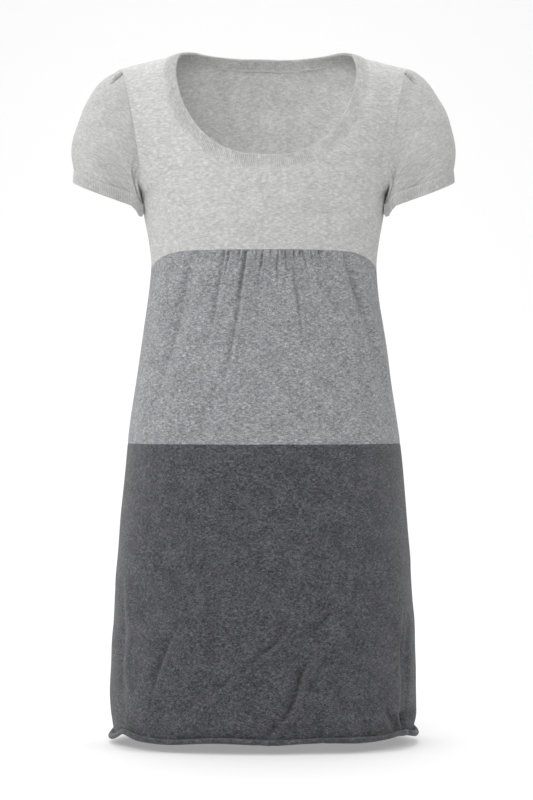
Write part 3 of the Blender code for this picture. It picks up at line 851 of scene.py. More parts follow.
def cuff_ring(up, turn, hand):
    """The cuff's ring at a height above its lower edge, at turns from its outer side by the
    front."""
    outward_share = power(np.cos(turn), 2 / CUFF_SQUARENESS)
    forward = power(np.sin(turn), 2 / CUFF_SQUARENESS)
    half_width = (CUFF_OUTER_X - CUFF_INNER_X) / 2
    x = (CUFF_OUTER_X + CUFF_INNER_X) / 2 + half_width * outward_share
    x -= CUFF_DRAWN_IN * (np.maximum(-outward_share, 0) * forward) ** 2
    y = CUFF_MIDDLE_Y - CUFF_HALF_DEPTH * forward
    z = CUFF_OUTER_Z - (CUFF_OUTER_X - x) * CUFF_SLANT + y * CUFF_TILT
    corner = np.clip((CUFF_CORNER_X - x) / CUFF_CORNER_WIDTH, 0, CUFF_CORNER_LIMIT)
    between = eased(-outward_share - CUFF_DROOP_SHARE, CUFF_DROOP_WIDTH)
    z -= np.maximum(CUFF_CORNER_DROOP * corner**1.5, CUFF_DROOP * between)
    return np.stack([hand * (x - up * CUFF_LEAN), y, z + up], -1)


# How far a strand of the sleeve runs straight on where it leaves the armhole and where it
# reaches the cuff, at the top and under the arm: outwards, to front or back, and up.
PUFF_FROM_ARMHOLE = ((0.0380, 0.010, -0.006), (0.0040, 0.010, -0.001))
PUFF_TO_CUFF = ((0.0125, 0.010, 0.044), (0.0010, 0.010, 0.002))


def straight_run(puff, turn, hand):
    """How far strands run straight on, at each turn round the armhole."""
    top, underarm = np.array(puff)
    run = underarm + (top - underarm) * ((1 + np.cos(turn)) / 2)[:, None]
    return run * np.stack([np.full_like(turn, hand), -np.sin(turn), np.ones_like(turn)], -1)


def sleeve_strands(turn, hand):
    """A net of strands from the armhole over the sleeve and the cuff, one for each turn from
    the shoulder by the front. Also the ways out of the cloth, and each point's distance round
    from the topmost strand and down from the armhole."""
    share = turn / math.pi
    in_front = (share <= 1)[:, None]
    armhole = np.where(
        in_front,
        form(*spaced(armhole_line, share, FRONT), FRONT),
        form(*spaced(armhole_line, 2 - share, BACK), BACK),
    )
    swell = np.where(in_front, armhole_swell(share, FRONT), armhole_swell(2 - share, BACK))
    armhole = armhole * [hand, 1, 1]
    cuff_rings = [cuff_ring(up, turn, hand) for up in np.linspace(CUFF_HEIGHT, 0, CUFF_ROWS)]
    leave = armhole + straight_run(PUFF_FROM_ARMHOLE, turn, hand)
    arrive = cuff_rings[0] + straight_run(PUFF_TO_CUFF, turn, hand)
    rings = []
    for down in np.linspace(0, 1, SLEEVE_ROWS, endpoint=False) ** 1.4:
        up = 1 - down
        curve = armhole * up**3 + cuff_rings[0] * down**3
        curve += leave * 3 * down * up**2 + arrive * 3 * down**2 * up
        rings.append(curve)
    net = np.array(rings + cuff_rings)
    wrapped = np.concatenate([net[:, -1:], net, net[:, :1]], axis=1)
    out = np.cross(wrapped[:, 2:] - wrapped[:, :-2], np.gradient(net, axis=0)) * hand
    out /= np.linalg.norm(out, axis=-1, keepdims=True)
    around = np.array([run_along(ring) for ring in wrapped[:, 1:]])
    around = np.where(around > around[:, -1:] / 2, around - around[:, -1:], around)[:, :-1]
    down = from_edges(net, ("top",))
    near = 1 - np.minimum(down / ARMHOLE_SWELL_REACH, 1)
    net += swell * [hand, 1, 1] * near[..., None] ** 2
    return net, out, around, down


# Tucks and folds of the left sleeve, which the right one mirrors with its own depths: a route
# of (distance round from the shoulder seam, distance down), then as for the panels.
SLEEVE_CREASES = (
    (((0.0175, -0.002), (0.0195, 0.004), (0.024, 0.011), (0.028, 0.02)), 0.0056, 0.001, 1.0, 0.0),
    (((0.0197, 0.0), (0.0228, 0.006), (0.028, 0.016)), -0.0018, 0.0011, 0.8, 0.0),
    (((0.0218, -0.002), (0.024, 0.004), (0.0292, 0.013), (0.0335, 0.023)), 0.007, 0.0011, 1.0, 0.2),
    (((0.03, 0.014), (0.037, 0.017), (0.047, 0.017)), 0.0018, 0.0032, 0.2, 0.3),
    (((-0.015, -0.002), (-0.019, 0.006), (-0.024, 0.016)), 0.0042, 0.0018, 1.0, 0.4),
    (((-0.0235, -0.002), (-0.028, 0.007), (-0.034, 0.02)), 0.004, 0.0019, 1.0, 0.4),
    (((0.144, 0.008), (0.145, 0.02), (0.148, 0.034), (0.152, 0.07)), 0.0036, 0.0028, 0.1, 0.4),
    (((0.157, 0.002), (0.152, 0.016), (0.148, 0.03), (0.144, 0.07)), 0.003, 0.0022, 0.1, 0.3),
    (((-0.15, 0.004), (-0.146, 0.02), (-0.143, 0.04), (-0.14, 0.07)), 0.0034, 0.003, 0.1, -0.4),
)


HELD_GATHER = 0.3
HELD_GATHER_WIDTH = 0.004


def gathered_in(distance):
    """How full a gather is at a distance from the seam that holds it."""
    return HELD_GATHER + (1 - HELD_GATHER) * eased(distance, HELD_GATHER_WIDTH)


# The sleeve's cloth wavers more than the rest, away from its seams.
SLEEVE_WAVER = 0.0008
SLEEVE_WAVER_SIZE = 0.05
SLEEVE_MARGIN = 0.012
# Its knit runs round an upright axis through the arm, and its courses dome over it.
ARM_X = 0.150
ARM_RADIUS = 0.065
COURSE_DOMING = 0.35


def make_sleeve(hand_name, hand, tuck):
    share = np.linspace(0, 1, SLEEVE_COLUMNS // 2 + 1)
    front_turn = math.pi * crowded(share, SLEEVE_CROWDING)
    turn = np.concatenate([front_turn, 2 * math.pi - front_turn[-2:0:-1]])
    net, out, around, down = (part[: SLEEVE_ROWS + 1] for part in sleeve_strands(turn, hand))
    away = eased(from_edges(net, ("top", "bottom")), SLEEVE_MARGIN)
    lift = SLEEVE_WAVER * uneven(net, SLEEVE_WAVER_SIZE) * away
    lift += waver(net) * (1 - eased(down, SLEEVE_MARGIN))
    lift -= tuck * creased(around, down, SLEEVE_CREASES) * gathered_in(down)
    outer = net + out * lift[..., None]
    # Its courses run level with the cuff, and its wales run up from it to the shoulder.
    closed = np.concatenate([net, net[:, :1]], axis=1)
    outboard, back = hand * closed[..., 0] - ARM_X, closed[..., 1]
    above_cuff = closed[..., 2] + CUFF_SLANT * (CUFF_OUTER_X - ARM_X - outboard)
    up = above_cuff - COURSE_DOMING * np.hypot(outboard, back)
    grain = np.stack([ARM_RADIUS * np.arctan2(back, outboard), up], -1)
    inner = outer - out * JERSEY_WALL
    # The outside takes the sleeve yarn, painted darker as painted shade. The inside takes the reverse,
    # painted lighter as painted light.
    finish = (SLEEVE_KNIT_PAINTED_SHADE, LIGHT_REVERSE_PAINTED_LIGHT)
    sleeve = cloth_wall(hand_name + "_sleeve", outer, inner, grain, finish, joined=True)
    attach(sleeve, "root")
    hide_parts("sleeve_" + hand_name)


def make_cuff(hand_name, hand, tuck):
    turn = np.linspace(0, 2 * math.pi, CUFF_COLUMNS, endpoint=False)
    faces, normals, around, down = (part[SLEEVE_ROWS:] for part in sleeve_strands(turn, hand))
    counted = faces[0]
    faces = faces - normals * (tuck * creased(around, down, SLEEVE_CREASES))[..., None]
    backs = faces - normals * RIB_WALL
    cuff = rib_band(hand_name + "_cuff_rib", faces, backs, normals, counted, (CUFF_HEIGHT, 0))
    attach(cuff, "root")
    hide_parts("cuff_" + hand_name)


# The right sleeve's tucks are a little deeper.
for hand_name, hand, tuck in (("left", 1, 1.0), ("right", -1, 1.1)):
    make_sleeve(hand_name, hand, tuck)
    make_cuff(hand_name, hand, tuck)

# ----------------------------------------------------------------------------- the middle tier
# Mid grey melange jersey, gathered into the seam under the bust and hanging straight from it.
# The gathers run out into long soft troughs.
MID_KNIT = melange_knit(
    "Mid grey melange", (0.072, 0.073, 0.081), (0.462, 0.466, 0.478),
    streaks=1.05, curls=1.22, patches=0.24, streak_length=0.0050,
)
MID_REVERSE = melange_knit(
    "Mid grey melange reverse", (0.080, 0.080, 0.090), (0.450, 0.452, 0.468),
    streaks=0.85, curls=1.0, patches=0.40, **REVERSE_STITCH,
)
MIDRIFF_CREASES = {
    FRONT: (
        (((-0.0905, -0.266), (-0.099, -0.3), (-0.1093, -0.354), (-0.1216, -0.397), (-0.1308, -0.434),
         (-0.137, -0.475)), 0.0092, 0.0046, 0.45, -0.5),
        (((-0.042, -0.256), (-0.0431, -0.264), (-0.0451, -0.274), (-0.0465, -0.284), (-0.052, -0.3)),
         0.0044, 0.0014, 1.0, 0.3),
        (((-0.05, -0.268), (-0.06, -0.33), (-0.07, -0.37), (-0.079, -0.41)), 0.0048, 0.0036, 0.4, 0.3),
        (((-0.0204, -0.256), (-0.0224, -0.265), (-0.0229, -0.274), (-0.0249, -0.282), (-0.0259, -0.29),
         (-0.0288, -0.3), (-0.031, -0.32)), 0.006, 0.0016, 0.8, 0.3),
        (((-0.022, -0.258), (-0.024, -0.27), (-0.028, -0.299), (-0.0323, -0.342), (-0.0415, -0.385),
         (-0.051, -0.43), (-0.056, -0.455)), 0.0064, 0.0034, 0.4, 0.6),
        (((-0.0508, -0.41), (-0.069, -0.446), (-0.08, -0.476), (-0.085, -0.497)),
         0.005, 0.004, 0.1, -0.5),
        (((-0.0003, -0.256), (-0.0018, -0.266), (-0.0028, -0.277), (-0.0058, -0.29), (-0.008, -0.312)),
         0.0044, 0.0014, 1.0, 0.3),
        (((0.0071, -0.264), (0.0075, -0.277), (0.0095, -0.284), (0.009, -0.301), (0.0095, -0.318)),
         0.0022, 0.002, 0.0, 0.3),
        (((0.0179, -0.256), (0.0179, -0.268), (0.0164, -0.278), (0.0174, -0.292), (0.017, -0.316)),
         0.0036, 0.0014, 0.8, 0.3),
        (((0.0272, -0.256), (0.0267, -0.268), (0.0287, -0.278), (0.0297, -0.297)),
         0.0046, 0.0014, 0.9, 0.3),
        (((0.035, -0.27), (0.0381, -0.285), (0.039, -0.295), (0.041, -0.306), (0.044, -0.316),
         (0.046, -0.35), (0.052, -0.395)), 0.005, 0.0024, 0.1, 0.5),
        (((0.0474, -0.256), (0.0499, -0.266), (0.0529, -0.274), (0.0543, -0.283), (0.0555, -0.302)),
         0.0042, 0.0014, 0.9, 0.3),
        (((0.103, -0.266), (0.1155, -0.305), (0.131, -0.342), (0.143, -0.385), (0.155, -0.434),
         (0.162, -0.47)), 0.0096, 0.0034, 0.5, 0.5),
    ),
    BACK: (
        (((-0.06, -0.262), (-0.066, -0.31), (-0.078, -0.37), (-0.084, -0.43)), 0.0084, 0.01, 0.3, 0.2),
        (((-0.014, -0.262), (-0.012, -0.31), (-0.016, -0.38)), 0.006, 0.008, 0.4, 0.2),
        (((0.038, -0.262), (0.046, -0.312), (0.052, -0.368), (0.05, -0.42)), 0.0078, 0.009, 0.3, -0.2),
        (((0.1, -0.264), (0.112, -0.31), (0.13, -0.372), (0.142, -0.44)), 0.009, 0.0095, 0.3, 0.3),
        (((-0.108, -0.266), (-0.12, -0.312), (-0.138, -0.39)), 0.0078, 0.009, 0.3, -0.3),
    ),
}
# The short tucks of the gathering between them: where each starts on the seam, how far it
# leans and runs down, its depth and half width.
GATHER_TUCKS = (
    (-0.0600, -0.001, 0.014, 0.0018, 0.0020),
    (-0.0480, -0.003, 0.022, 0.0035, 0.0013),
    (-0.0365, 0.0, 0.012, 0.0022, 0.0013),
    (-0.0293, -0.001, 0.010, 0.0042, 0.0010),
    (-0.0135, 0.0, 0.012, 0.0022, 0.0013),
    (-0.0080, -0.001, 0.016, 0.0025, 0.0013),
    (0.0085, 0.001, 0.014, 0.0030, 0.0012),
    (0.0225, 0.001, 0.012, 0.0025, 0.0011),
    (0.0327, 0.0, 0.011, 0.0022, 0.0011),
    (0.0381, -0.001, 0.014, 0.0052, 0.0010),
    (0.0450, 0.0, 0.011, 0.0052, 0.0010),
    (0.0591, 0.001, 0.015, 0.0045, 0.0011),
    (0.0640, 0.001, 0.012, 0.0022, 0.0012),
    (0.0685, 0.002, 0.011, 0.0040, 0.0011),
)
# Along the seams of a tier its cloth dips a little, and its creases fade out beside them.
TIER_SEAM_DIP = 0.0004
TIER_SEAM_DIP_WIDTH = 0.0015
TIER_CREASE_MARGIN = 0.010


def gather_creases():
    """The short tucks, and the shallow hollow that each of them runs out into."""
    creases = []
    for x, lean, run, depth, half_width in GATHER_TUCKS:
        head = (x, EMPIRE_Z[FRONT] + 0.001)
        tuck = (head, (x + lean, EMPIRE_Z[FRONT] - run))
        hollow = (head, (x + 2 * lean, EMPIRE_Z[FRONT] - 2.5 * run))
        creases.append((tuck, depth, half_width, 1.0, 0.4))
        creases.append((hollow, 0.4 * depth, 2.2 * half_width, 0.6, 0.0))
    return creases


# Just below the gathering the cloth bulges by this much, the most at this drop from the seam.
GATHER_X = 0.005
GATHER_HALF_WIDTH = 0.060
BULGE = 0.0022
BULGE_DROP = 0.008
# Columns, rows, and how much the columns crowd to the centre.
MIDRIFF_NET = {FRONT: (320, 92, 0.62), BACK: (160, 64, 0.0)}


def seam_dip(seam):
    """How far a tier's cloth dips at this distance from a seam."""
    return TIER_SEAM_DIP * bump(seam, TIER_SEAM_DIP_WIDTH)


def tier_angles(side, columns, crowding):
    """Angles of a tier's columns, evenly spaced round the cloth, or crowded to the centre."""
    share = crowded(np.linspace(-1, 1, columns + 1), crowding)
    turns = np.linspace(0, 90, 361)
    gone = run_along(form(turns, np.full_like(turns, TIER_Z - BUST_Z), side))
    return np.sign(share) * np.interp(np.abs(share), gone / gone[-1], turns)


def make_midriff(name, node, side):
    columns, rows, crowding = MIDRIFF_NET[side]
    angle = tier_angles(side, columns, crowding)
    top = empire_line(side)(1 - np.abs(angle) / 90)[1]
    down = np.linspace(0, 1, rows)[:, None] ** 1.25
    rise = top + (TIER_Z - BUST_Z - top) * down
    angle = np.broadcast_to(angle, rise.shape)
    net = form(angle, rise, side)
    out = outward(angle, rise, side)
    lift = waver(net) - seam_dip(from_edges(net, ("top", "bottom", "left", "right")))
    held = gathered_in(from_edges(net, ("top",)))
    held = held * eased(from_edges(net, ("bottom", "left", "right")), TIER_CREASE_MARGIN)
    lift -= creased(net[..., 0], net[..., 2], MIDRIFF_CREASES[side]) * held
    if side == FRONT:
        lift -= creased(net[..., 0], net[..., 2], gather_creases()) * held
        below = (top - rise) / BULGE_DROP
        gathered = np.exp(-(((net[..., 0] - GATHER_X) / GATHER_HALF_WIDTH) ** 4))
        lift += BULGE * gathered * below * np.exp(1 - below)
    outer = net + out * lift[..., None]
    grain = np.stack([across_cloth(angle, rise, side), net[..., 2]], -1)
    piece = cloth_wall(name, outer, outer - out * JERSEY_WALL, grain, (MID_KNIT, MID_REVERSE))
    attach(piece, "root")
    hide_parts(node)


make_midriff("front_midriff", "midriff_front", FRONT)
make_midriff("back_midriff", "midriff_back", BACK)

# ----------------------------------------------------------------------------- the bottom tier
# Two panels of dark grey melange jersey, linked to the middle tier and at the sides. The raw
# edge curls outwards and up by itself into a roll.
DARK_KNIT = melange_knit(
    "Dark grey melange", (0.0085, 0.0086, 0.0103), (0.127, 0.128, 0.146),
    streaks=1.15, curls=1.70, patches=0.42, streak_length=0.0035,
)
DARK_REVERSE = melange_knit(
    "Dark grey melange reverse", (0.0090, 0.0092, 0.0110), (0.130, 0.131, 0.150),
    streaks=0.90, curls=1.2, patches=0.40, **REVERSE_STITCH,
)
SKIRT_COLUMNS = 240
SKIRT_ROWS = 112
HEM_Z = -0.8635
# The freer the cloth hangs, the more it wavers.
SKIRT_WAVER = 0.0012
SKIRT_WAVER_SIZE = 0.06
SKIRT_WAVER_START = TIER_Z - 0.02
SKIRT_WAVER_DROP = 0.20
SKIRT_WAVER_MARGIN = 0.02
# The roll is a curl whose radius shrinks by a share as it turns.
ROLL_RADIUS = 0.0036
ROLL_TURN = math.radians(420)
ROLL_SHRINKING = 0.50
HEM_ROLL_ROWS = 26
SKIRT_CREASES = {
    FRONT: (
        (((-0.0477, -0.572), (-0.0662, -0.616), (-0.0816, -0.671), (-0.097, -0.708), (-0.1124, -0.733),
         (-0.131, -0.776), (-0.14, -0.825), (-0.141, -0.86)), 0.0034, 0.0036, 0.0, -0.4),
        (((-0.104, -0.715), (-0.124, -0.758), (-0.138, -0.795), (-0.142, -0.845)),
         0.0032, 0.004, 0.1, 0.4),
        (((-0.029, -0.65), (-0.039, -0.69)), 0.0036, 0.003, 0.0, 0.3),
        (((0.056, -0.66), (0.042, -0.688), (0.031, -0.71)), 0.005, 0.0032, 0.0, 0.4),
        (((0.037, -0.712), (0.02, -0.739), (-0.0107, -0.763), (-0.03, -0.782), (-0.056, -0.802)),
         0.0085, 0.0038, 0.0, 0.6),
        (((-0.03, -0.778), (-0.073, -0.812), (-0.105, -0.832)), 0.005, 0.0044, 0.2, 0.3),
        (((0.09, -0.698), (0.07, -0.722), (0.051, -0.739), (0.044, -0.758)), 0.0072, 0.0036, 0.0, 0.6),
        (((0.066, -0.748), (0.048, -0.775), (0.042, -0.8), (0.0345, -0.824), (0.02, -0.843),
         (-0.006, -0.866), (-0.03, -0.884)), 0.0104, 0.004, 0.0, 0.6),
        (((0.084, -0.756), (0.066, -0.78), (0.048, -0.808)), 0.0072, 0.0044, 0.0, 0.5),
        (((0.01, -0.828), (0.014, -0.846), (0.008, -0.88)), 0.005, 0.0034, 0.1, 0.4),
        (((0.0716, -0.836), (0.0722, -0.858), (0.0726, -0.89)), 0.0045, 0.0036, 0.2, 0.3),
        (((0.15, -0.822), (0.163, -0.846), (0.168, -0.87)), 0.0072, 0.004, 0.0, 0.5),
        (((0.1745, -0.69), (0.175, -0.775), (0.1742, -0.84), (0.1738, -0.9)), 0.0056, 0.0028, 0.0, -0.7),
        (((0.176, -0.828), (0.1805, -0.85), (0.183, -0.885)), 0.0165, 0.0042, 0.0, -0.3),
        (((-0.176, -0.64), (-0.1775, -0.76), (-0.177, -0.88)), 0.003, 0.004, 0.0, 0.5),
    ),
    BACK: (
        (((0.06, -0.56), (0.074, -0.64), (0.098, -0.71), (0.112, -0.78)), 0.005, 0.0075, 0.0, 0.2),
        (((-0.03, -0.6), (-0.044, -0.69), (-0.04, -0.78)), 0.0044, 0.007, 0.0, 0.2),
        (((-0.106, -0.684), (-0.08, -0.74), (-0.046, -0.775), (-0.012, -0.794)),
         0.0054, 0.0056, 0.0, 0.3),
        (((0.05, -0.735), (0.01, -0.79), (0.0, -0.83), (-0.012, -0.9)), 0.007, 0.0058, 0.0, 0.4),
        (((-0.14, -0.75), (-0.128, -0.81), (-0.132, -0.9)), 0.005, 0.0058, 0.0, 0.3),
        (((0.136, -0.78), (0.11, -0.825), (0.098, -0.9)), 0.0054, 0.0058, 0.0, 0.3),
    ),
}
# Where the hem hangs lower, or higher where the drop is negative, and where its roll is
# fuller: the angle round the dress, the drop or the added fullness, and the half width.
HEM_DROPS = {
    FRONT: (
        (-90, 0.0075, 16), (-61, -0.0058, 8), (-34, 0.0026, 13), (-12, -0.0012, 9), (2, 0.0012, 6),
        (22, -0.0010, 9), (59, -0.0044, 11), (90, 0.0040, 12),
    ),
    BACK: ((-90, 0.0075, 12), (-48, -0.0030, 14), (-8, 0.0016, 12), (36, -0.0024, 12), (90, 0.0040, 12)),
}
ROLL_FULLNESS = (
    (-88, 0.16, 8), (-70, -0.12, 7), (-50, 0.14, 9), (-27, -0.10, 8), (-6, 0.10, 6),
    (12, -0.12, 8), (31, 0.12, 8), (49, -0.14, 7), (66, 0.10, 6), (86, 0.14, 8),
)


def bumps(angle, table):
    """The sum of soft bumps, each given as its angle, height and half width."""
    return sum(height * bump(angle - middle, width) for middle, height, width in table)


def make_skirt(name, node, side):
    angle = tier_angles(side, SKIRT_COLUMNS, 0.0)
    radius = ROLL_RADIUS * (1 + bumps(angle, ROLL_FULLNESS))[:, None]
    hem = HEM_Z - bumps(angle, HEM_DROPS[side])
    down = np.linspace(0, 1, SKIRT_ROWS)[:, None]
    rise = TIER_Z + (hem - TIER_Z) * down - BUST_Z
    angle = np.broadcast_to(angle, rise.shape)
    net = form(angle, rise, side)
    out = outward(angle, rise, side)
    seam = from_edges(net, ("top", "left", "right"))
    lift = waver(net) - seam_dip(seam)
    free = eased(SKIRT_WAVER_START - net[..., 2], SKIRT_WAVER_DROP) * eased(seam, SKIRT_WAVER_MARGIN)
    lift += SKIRT_WAVER * uneven(net, SKIRT_WAVER_SIZE) * free
    lift -= creased(net[..., 0], net[..., 2], SKIRT_CREASES[side]) * eased(seam, TIER_CREASE_MARGIN)
    outer = net + out * lift[..., None]
    inner = outer - out * JERSEY_WALL
    curl_out = out[-1] * [1, 1, 0]
    curl_out /= np.linalg.norm(curl_out, axis=-1, keepdims=True)
    centre = outer[-1] + curl_out * radius
    outer_rows, inner_rows = list(outer), list(inner)
    for turn in np.linspace(0, ROLL_TURN, HEM_ROLL_ROWS + 1)[1:]:
        spoke = -curl_out * math.cos(turn) - np.array([0, 0, 1]) * math.sin(turn)
        reach = radius * (1 - ROLL_SHRINKING * turn / ROLL_TURN)
        outer_rows.append(centre + spoke * (reach - JERSEY_WALL / 2))
        inner_rows.append(centre + spoke * (reach + JERSEY_WALL / 2))
    outer, inner = np.array(outer_rows), np.array(inner_rows)
    across = across_cloth(angle, rise, side)
    across = np.concatenate([across, np.tile(across[-1], (HEM_ROLL_ROWS, 1))])
    down_cloth = np.tile(run_along(outer).mean(1)[:, None], (1, across.shape[1]))
    grain = np.stack([across, -down_cloth], -1)
    piece = cloth_wall(name, outer, inner, grain, (DARK_KNIT, DARK_REVERSE))
    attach(piece, "root")
    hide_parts(node)


make_skirt("front_skirt", "skirt_front", FRONT)
make_skirt("back_skirt", "skirt_back", BACK)

# ------------------------------------------------------------------------ the linking stitches
# Inside every seam, the chain of yarn loops that links its two edges of knit. Each seam is
# linked with yarn of the lighter of the cloths that it joins.
STITCH_PITCH = 0.0040
STITCH_INSET = 0.0007
LOOP_RADIUS = 0.0014
YARN_RADIUS = 0.00025
# A side seam's stitches stop this far short of its ends, or of the start of the hem's roll.
SEAM_END = 0.004
HEM_END = 0.006
ARMHOLE_STITCH_DEPTH = 1.4 * JERSEY_WALL + STITCH_INSET
LOOP_CORNERS = 8
YARN_CORNERS = 3
LOOP_TIP = math.radians(14)
LOOP_STRETCH = (1.9, 0.9, 1.0)
SEAM_SHARES = np.linspace(0, 1, 241)


def stitch_tree():
    """Lays flat, overlapping loops of yarn along a line, each tipped a little over the next.
    The line's points know the way into the garment as inward."""
    sizes = {"Pitch": "Float", "Loop radius": "Float", "Yarn radius": "Float"}
    inputs = {"Line": "Geometry", **sizes, "Finish": "Material"}
    outputs = {"Stitches": "Geometry"}
    tree, given, put_out = new_tree("Linking stitches", "GeometryNodeTree", inputs, outputs)
    line = add_node(tree, "GeometryNodeMeshToCurve", [given["Line"]])
    pitch = {"Curve": line, "Length": given["Pitch"]}
    spread = add_node(tree, "GeometryNodeResampleCurve", pitch, mode="LENGTH")
    ring, yarn = (
        add_node(tree, "GeometryNodeCurvePrimitiveCircle", {"Resolution": corners, "Radius": radius})
        for corners, radius in (
            (LOOP_CORNERS, given["Loop radius"]),
            (YARN_CORNERS, given["Yarn radius"]),
        )
    )
    loop = add_node(tree, "GeometryNodeCurveToMesh", {"Curve": ring, "Profile Curve": yarn})
    shape = {"Geometry": loop, "Rotation": (0, LOOP_TIP, 0), "Scale": LOOP_STRETCH}
    shaped = add_node(tree, "GeometryNodeTransform", shape)
    align = "FunctionNodeAlignRotationToVector"
    inward = add_node(tree, "GeometryNodeInputNamedAttribute", ["inward"], data_type="FLOAT_VECTOR")
    upright = add_node(tree, align, {"Vector": inward}, axis="Z")
    ahead = {"Rotation": upright, "Vector": add_node(tree, "GeometryNodeInputTangent")}
    turned = add_node(tree, align, ahead, axis="X", pivot_axis="Z")
    place = {"Points": spread, "Instance": shaped, "Rotation": turned}
    laid = add_node(tree, "GeometryNodeInstanceOnPoints", place)
    real = add_node(tree, "GeometryNodeRealizeInstances", [laid])
    finish = {"Geometry": real, "Material": given["Finish"]}
    fill_in(tree, put_out, {"Stitches": add_node(tree, "GeometryNodeSetMaterial", finish)})
    return tree


def inside_seam(angle, rise, side):
    """Points just inside the cloth along a seam, and the ways into the garment from them."""
    points = form(angle, rise, side)
    inward = -outward(angle, rise, side)
    depth = JERSEY_WALL + STITCH_INSET - waver(points)
    return points + inward * depth[:, None], inward


def mirrored(seam):
    """A seam and the same one on the other side of the garment."""
    return [seam, tuple(part * [-1, 1, 1] for part in seam)]


def side_seam_between(upper, lower):
    """Both side seams of a tier, between these heights."""
    rise = np.linspace(upper, lower, 60) - BUST_Z
    return mirrored(inside_seam(np.full_like(rise, 90.0), rise, FRONT))


def light_seams():
    """The seams at the neck, shoulders, armholes and cuffs, and under the bust."""
    seams = side_seam_between(BUST_Z - SEAM_END, EMPIRE_SIDE_Z + SEAM_END)
    for side in (FRONT, BACK):
        seams.append(inside_seam(*spaced(neck_line(side, NECKBAND_WIDTH), SEAM_SHARES, side), side))
        empire = spaced(empire_line(side), SEAM_SHARES, side)
        seams.append(inside_seam(*both_halves(empire), side))
        armhole = form(*spaced(armhole_line, SEAM_SHARES, side), side)
        armhole += armhole_swell(SEAM_SHARES, side)
        inward = -between_panel_and_sleeve(SEAM_SHARES, side)
        seams += mirrored((armhole + inward * ARMHOLE_STITCH_DEPTH, inward))
    for end in (0, 1):
        start = neck_line(FRONT, NECKBAND_WIDTH)(np.array([end]))[0][0]
        shoulder = np.linspace(start, np.sign(start) * armhole_line(0.0)[0], 30)
        seams.append(inside_seam(shoulder, np.full_like(shoulder, ARCH_RISE), FRONT))
    turn = np.linspace(0, 2 * math.pi, 241)
    for hand in (1, -1):
        net, out, _, _ = sleeve_strands(turn[:-1], hand)
        ring, inward = net[SLEEVE_ROWS], -out[SLEEVE_ROWS]
        seams.append((ring + inward * (RIB_WALL + STITCH_INSET), inward))
    return seams


def tier_seam():
    """The seam between the middle tier and the bottom one, in front and behind."""
    angle = tier_angles(FRONT, SKIRT_COLUMNS, 0.0)
    return [inside_seam(angle, np.full_like(angle, TIER_Z - BUST_Z), side) for side in (FRONT, BACK)]


def link_seams(name, seams, colour):
    """The stitches of several seams, all in one colour of yarn, as one piece."""
    yarn, _ = new_material(
        name.replace("_", " ").capitalize(), {"Base Color": (*colour, 1), "Roughness": 0.92}
    )
    points = np.concatenate([seam[0] for seam in seams])
    inward = np.concatenate([seam[1] for seam in seams]).astype(np.float32)
    ends = np.cumsum([len(seam[0]) for seam in seams])
    edges = [(k, k + 1) for k in range(len(points) - 1) if k + 1 not in ends]
    mesh = bpy.data.meshes.new(name + "_line")
    mesh.from_pydata(points.tolist(), edges, [])
    known = mesh.attributes.new("inward", "FLOAT_VECTOR", "POINT")
    known.data.foreach_set("vector", inward.reshape(-1))
    line = put_in_scene(name + "_line", mesh)
    sizes = {"pitch": STITCH_PITCH, "loop_radius": LOOP_RADIUS, "yarn_radius": YARN_RADIUS}
    piece = made_by(STITCH_TREE, line, name, finish=yarn, **sizes)
    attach(piece, "root")


STITCH_TREE = stitch_tree()
link_seams("light_linking_stitches", light_seams(), (0.66, 0.66, 0.65))
mid_sides = side_seam_between(EMPIRE_SIDE_Z - SEAM_END, TIER_Z + SEAM_END)
link_seams("mid_linking_stitches", tier_seam() + mid_sides, (0.19, 0.19, 0.20))
dark_sides = side_seam_between(TIER_Z - SEAM_END, HEM_Z + HEM_END)
link_seams("dark_linking_stitches", dark_sides, (0.045, 0.046, 0.053))

# ------------------------------------------------------------------- the studio and the camera
# One sweep of pale paper makes the table and the backdrop. It glows a little, as if lit from
# behind, and soft lights stand round it.
STUDIO_FLOOR_GAP = 0.005
PAPER_REACH = 6.0
PAPER_BEND_Y = 1.2
PAPER_BEND_RADIUS = 1.6
low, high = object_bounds()
floor_z = low.z - STUDIO_FLOOR_GAP


def emitter(name, place, target, size, watts):
    light = bpy.data.lights.new(name, "AREA")
    light.shape = "RECTANGLE"
    light.size, light.size_y = size
    light.energy = watts
    lamp = put_in_scene(name, light)
    lamp.location = place
    away = lamp.location - target
    lamp.rotation_euler = away.to_track_quat("Z", "Y").to_euler()


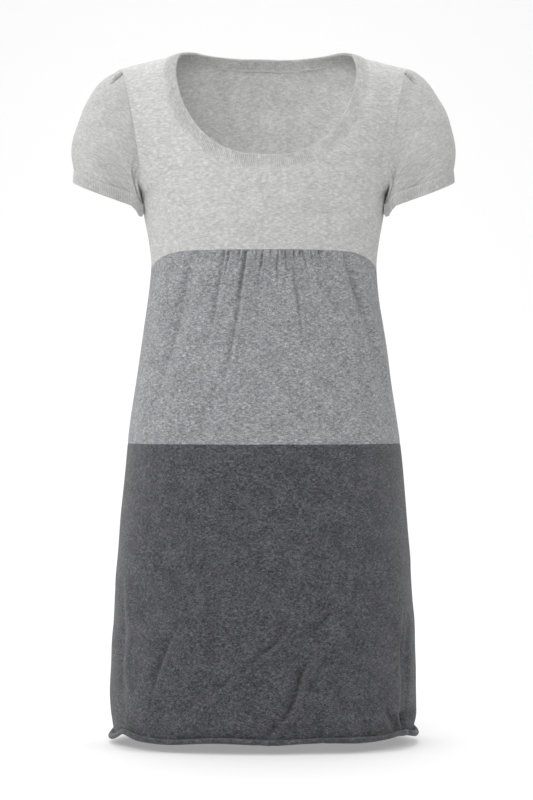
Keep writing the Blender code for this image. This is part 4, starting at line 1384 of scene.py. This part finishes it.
def make_studio():
    """The paper lies flat on the table, then curves up behind it into the backdrop."""
    profile = [(-PAPER_REACH, 0.0), (PAPER_BEND_Y, 0.0)]
    for turn in np.linspace(0, math.pi / 2, 13)[1:]:
        y = PAPER_BEND_Y + PAPER_BEND_RADIUS * math.sin(turn)
        profile.append((y, PAPER_BEND_RADIUS * (1 - math.cos(turn))))
    profile.append((PAPER_BEND_Y + PAPER_BEND_RADIUS, PAPER_REACH))
    points = [(x, y, floor_z + z) for y, z in profile for x in (-PAPER_REACH, PAPER_REACH)]
    quads = [(2 * k, 2 * k + 1, 2 * k + 3, 2 * k + 2) for k in range(len(profile) - 1)]
    mesh = bpy.data.meshes.new("studio_sweep")
    mesh.from_pydata(points, [], quads)
    mesh.shade_smooth()
    looks = {"Base Color": (0.55, 0.55, 0.55, 1), "Roughness": 0.9}
    glow = {"Emission Color": (1, 1, 1, 1), "Emission Strength": 0.30}
    paper, shader = new_material("Pale paper", {**looks, **glow})
    # Seen from its back the paper is clear, so that it never hides the dress.
    tree = paper.node_tree
    from_back = add_node(tree, "ShaderNodeNewGeometry").outputs["Backfacing"]
    clear = add_node(tree, "ShaderNodeBsdfTransparent")
    either = add_node(tree, "ShaderNodeMixShader", [from_back, shader, clear])
    fill_in(tree, tree.nodes["Material Output"], {"Surface": either})
    mesh.materials.append(paper)
    sweep = put_in_scene("studio_sweep", mesh)


make_studio()
middle = (low + high) / 2
emitter("front_light", (-0.2, -2.0, 0.5), middle, (0.9, 0.9), 20)
emitter("upper_left_light", (-1.15, -1.5, 1.05), middle, (0.6, 0.6), 11)
emitter("left_light", (-2.3, -0.8, 0.75), middle, (1.2, 1.2), 21)
emitter("right_light", (2.3, -0.8, 0.75), middle, (1.2, 1.2), 18)
emitter("left_rim_light", (-2.4, 0.4, 0.3), middle, (0.8, 1.4), 8)
emitter("right_rim_light", (2.4, 0.4, 0.3), middle, (0.8, 1.4), 2)
emitter("overhead_light", (0.0, 0.9, 1.8), middle, (2.8, 2.0), 38)
emitter("upper_front_light", (0.0, -0.6, 1.8), middle, (2.4, 1.2), 8)
emitter("backdrop_light", (0.0, 1.0, 2.6), Vector((0, 2.7, 0.2)), (4.0, 0.8), 38)
world = bpy.data.worlds.new("studio_air")
bpy.context.scene.world = world
world.use_nodes = True
air = {"Color": (1, 1, 1, 1), "Strength": 0.25}
fill_in(world.node_tree, world.node_tree.nodes["Background"], air)

# The camera looks straight and level at the front, at about half the dress's height.
CAMERA_DISTANCE = 3.2
CAMERA_X = 0.0035
CAMERA_Z = -0.443
VIEW_HEIGHT = 1.024
camera = bpy.data.cameras.new("camera")
camera.lens = camera.sensor_width * CAMERA_DISTANCE / VIEW_HEIGHT
viewer = put_in_scene("camera", camera)
viewer.location = (CAMERA_X, -CAMERA_DISTANCE, CAMERA_Z)
viewer.rotation_euler = (math.radians(90), 0, 0)
bpy.context.scene.camera = viewer
bpy.context.scene.view_settings.view_transform = "Standard"
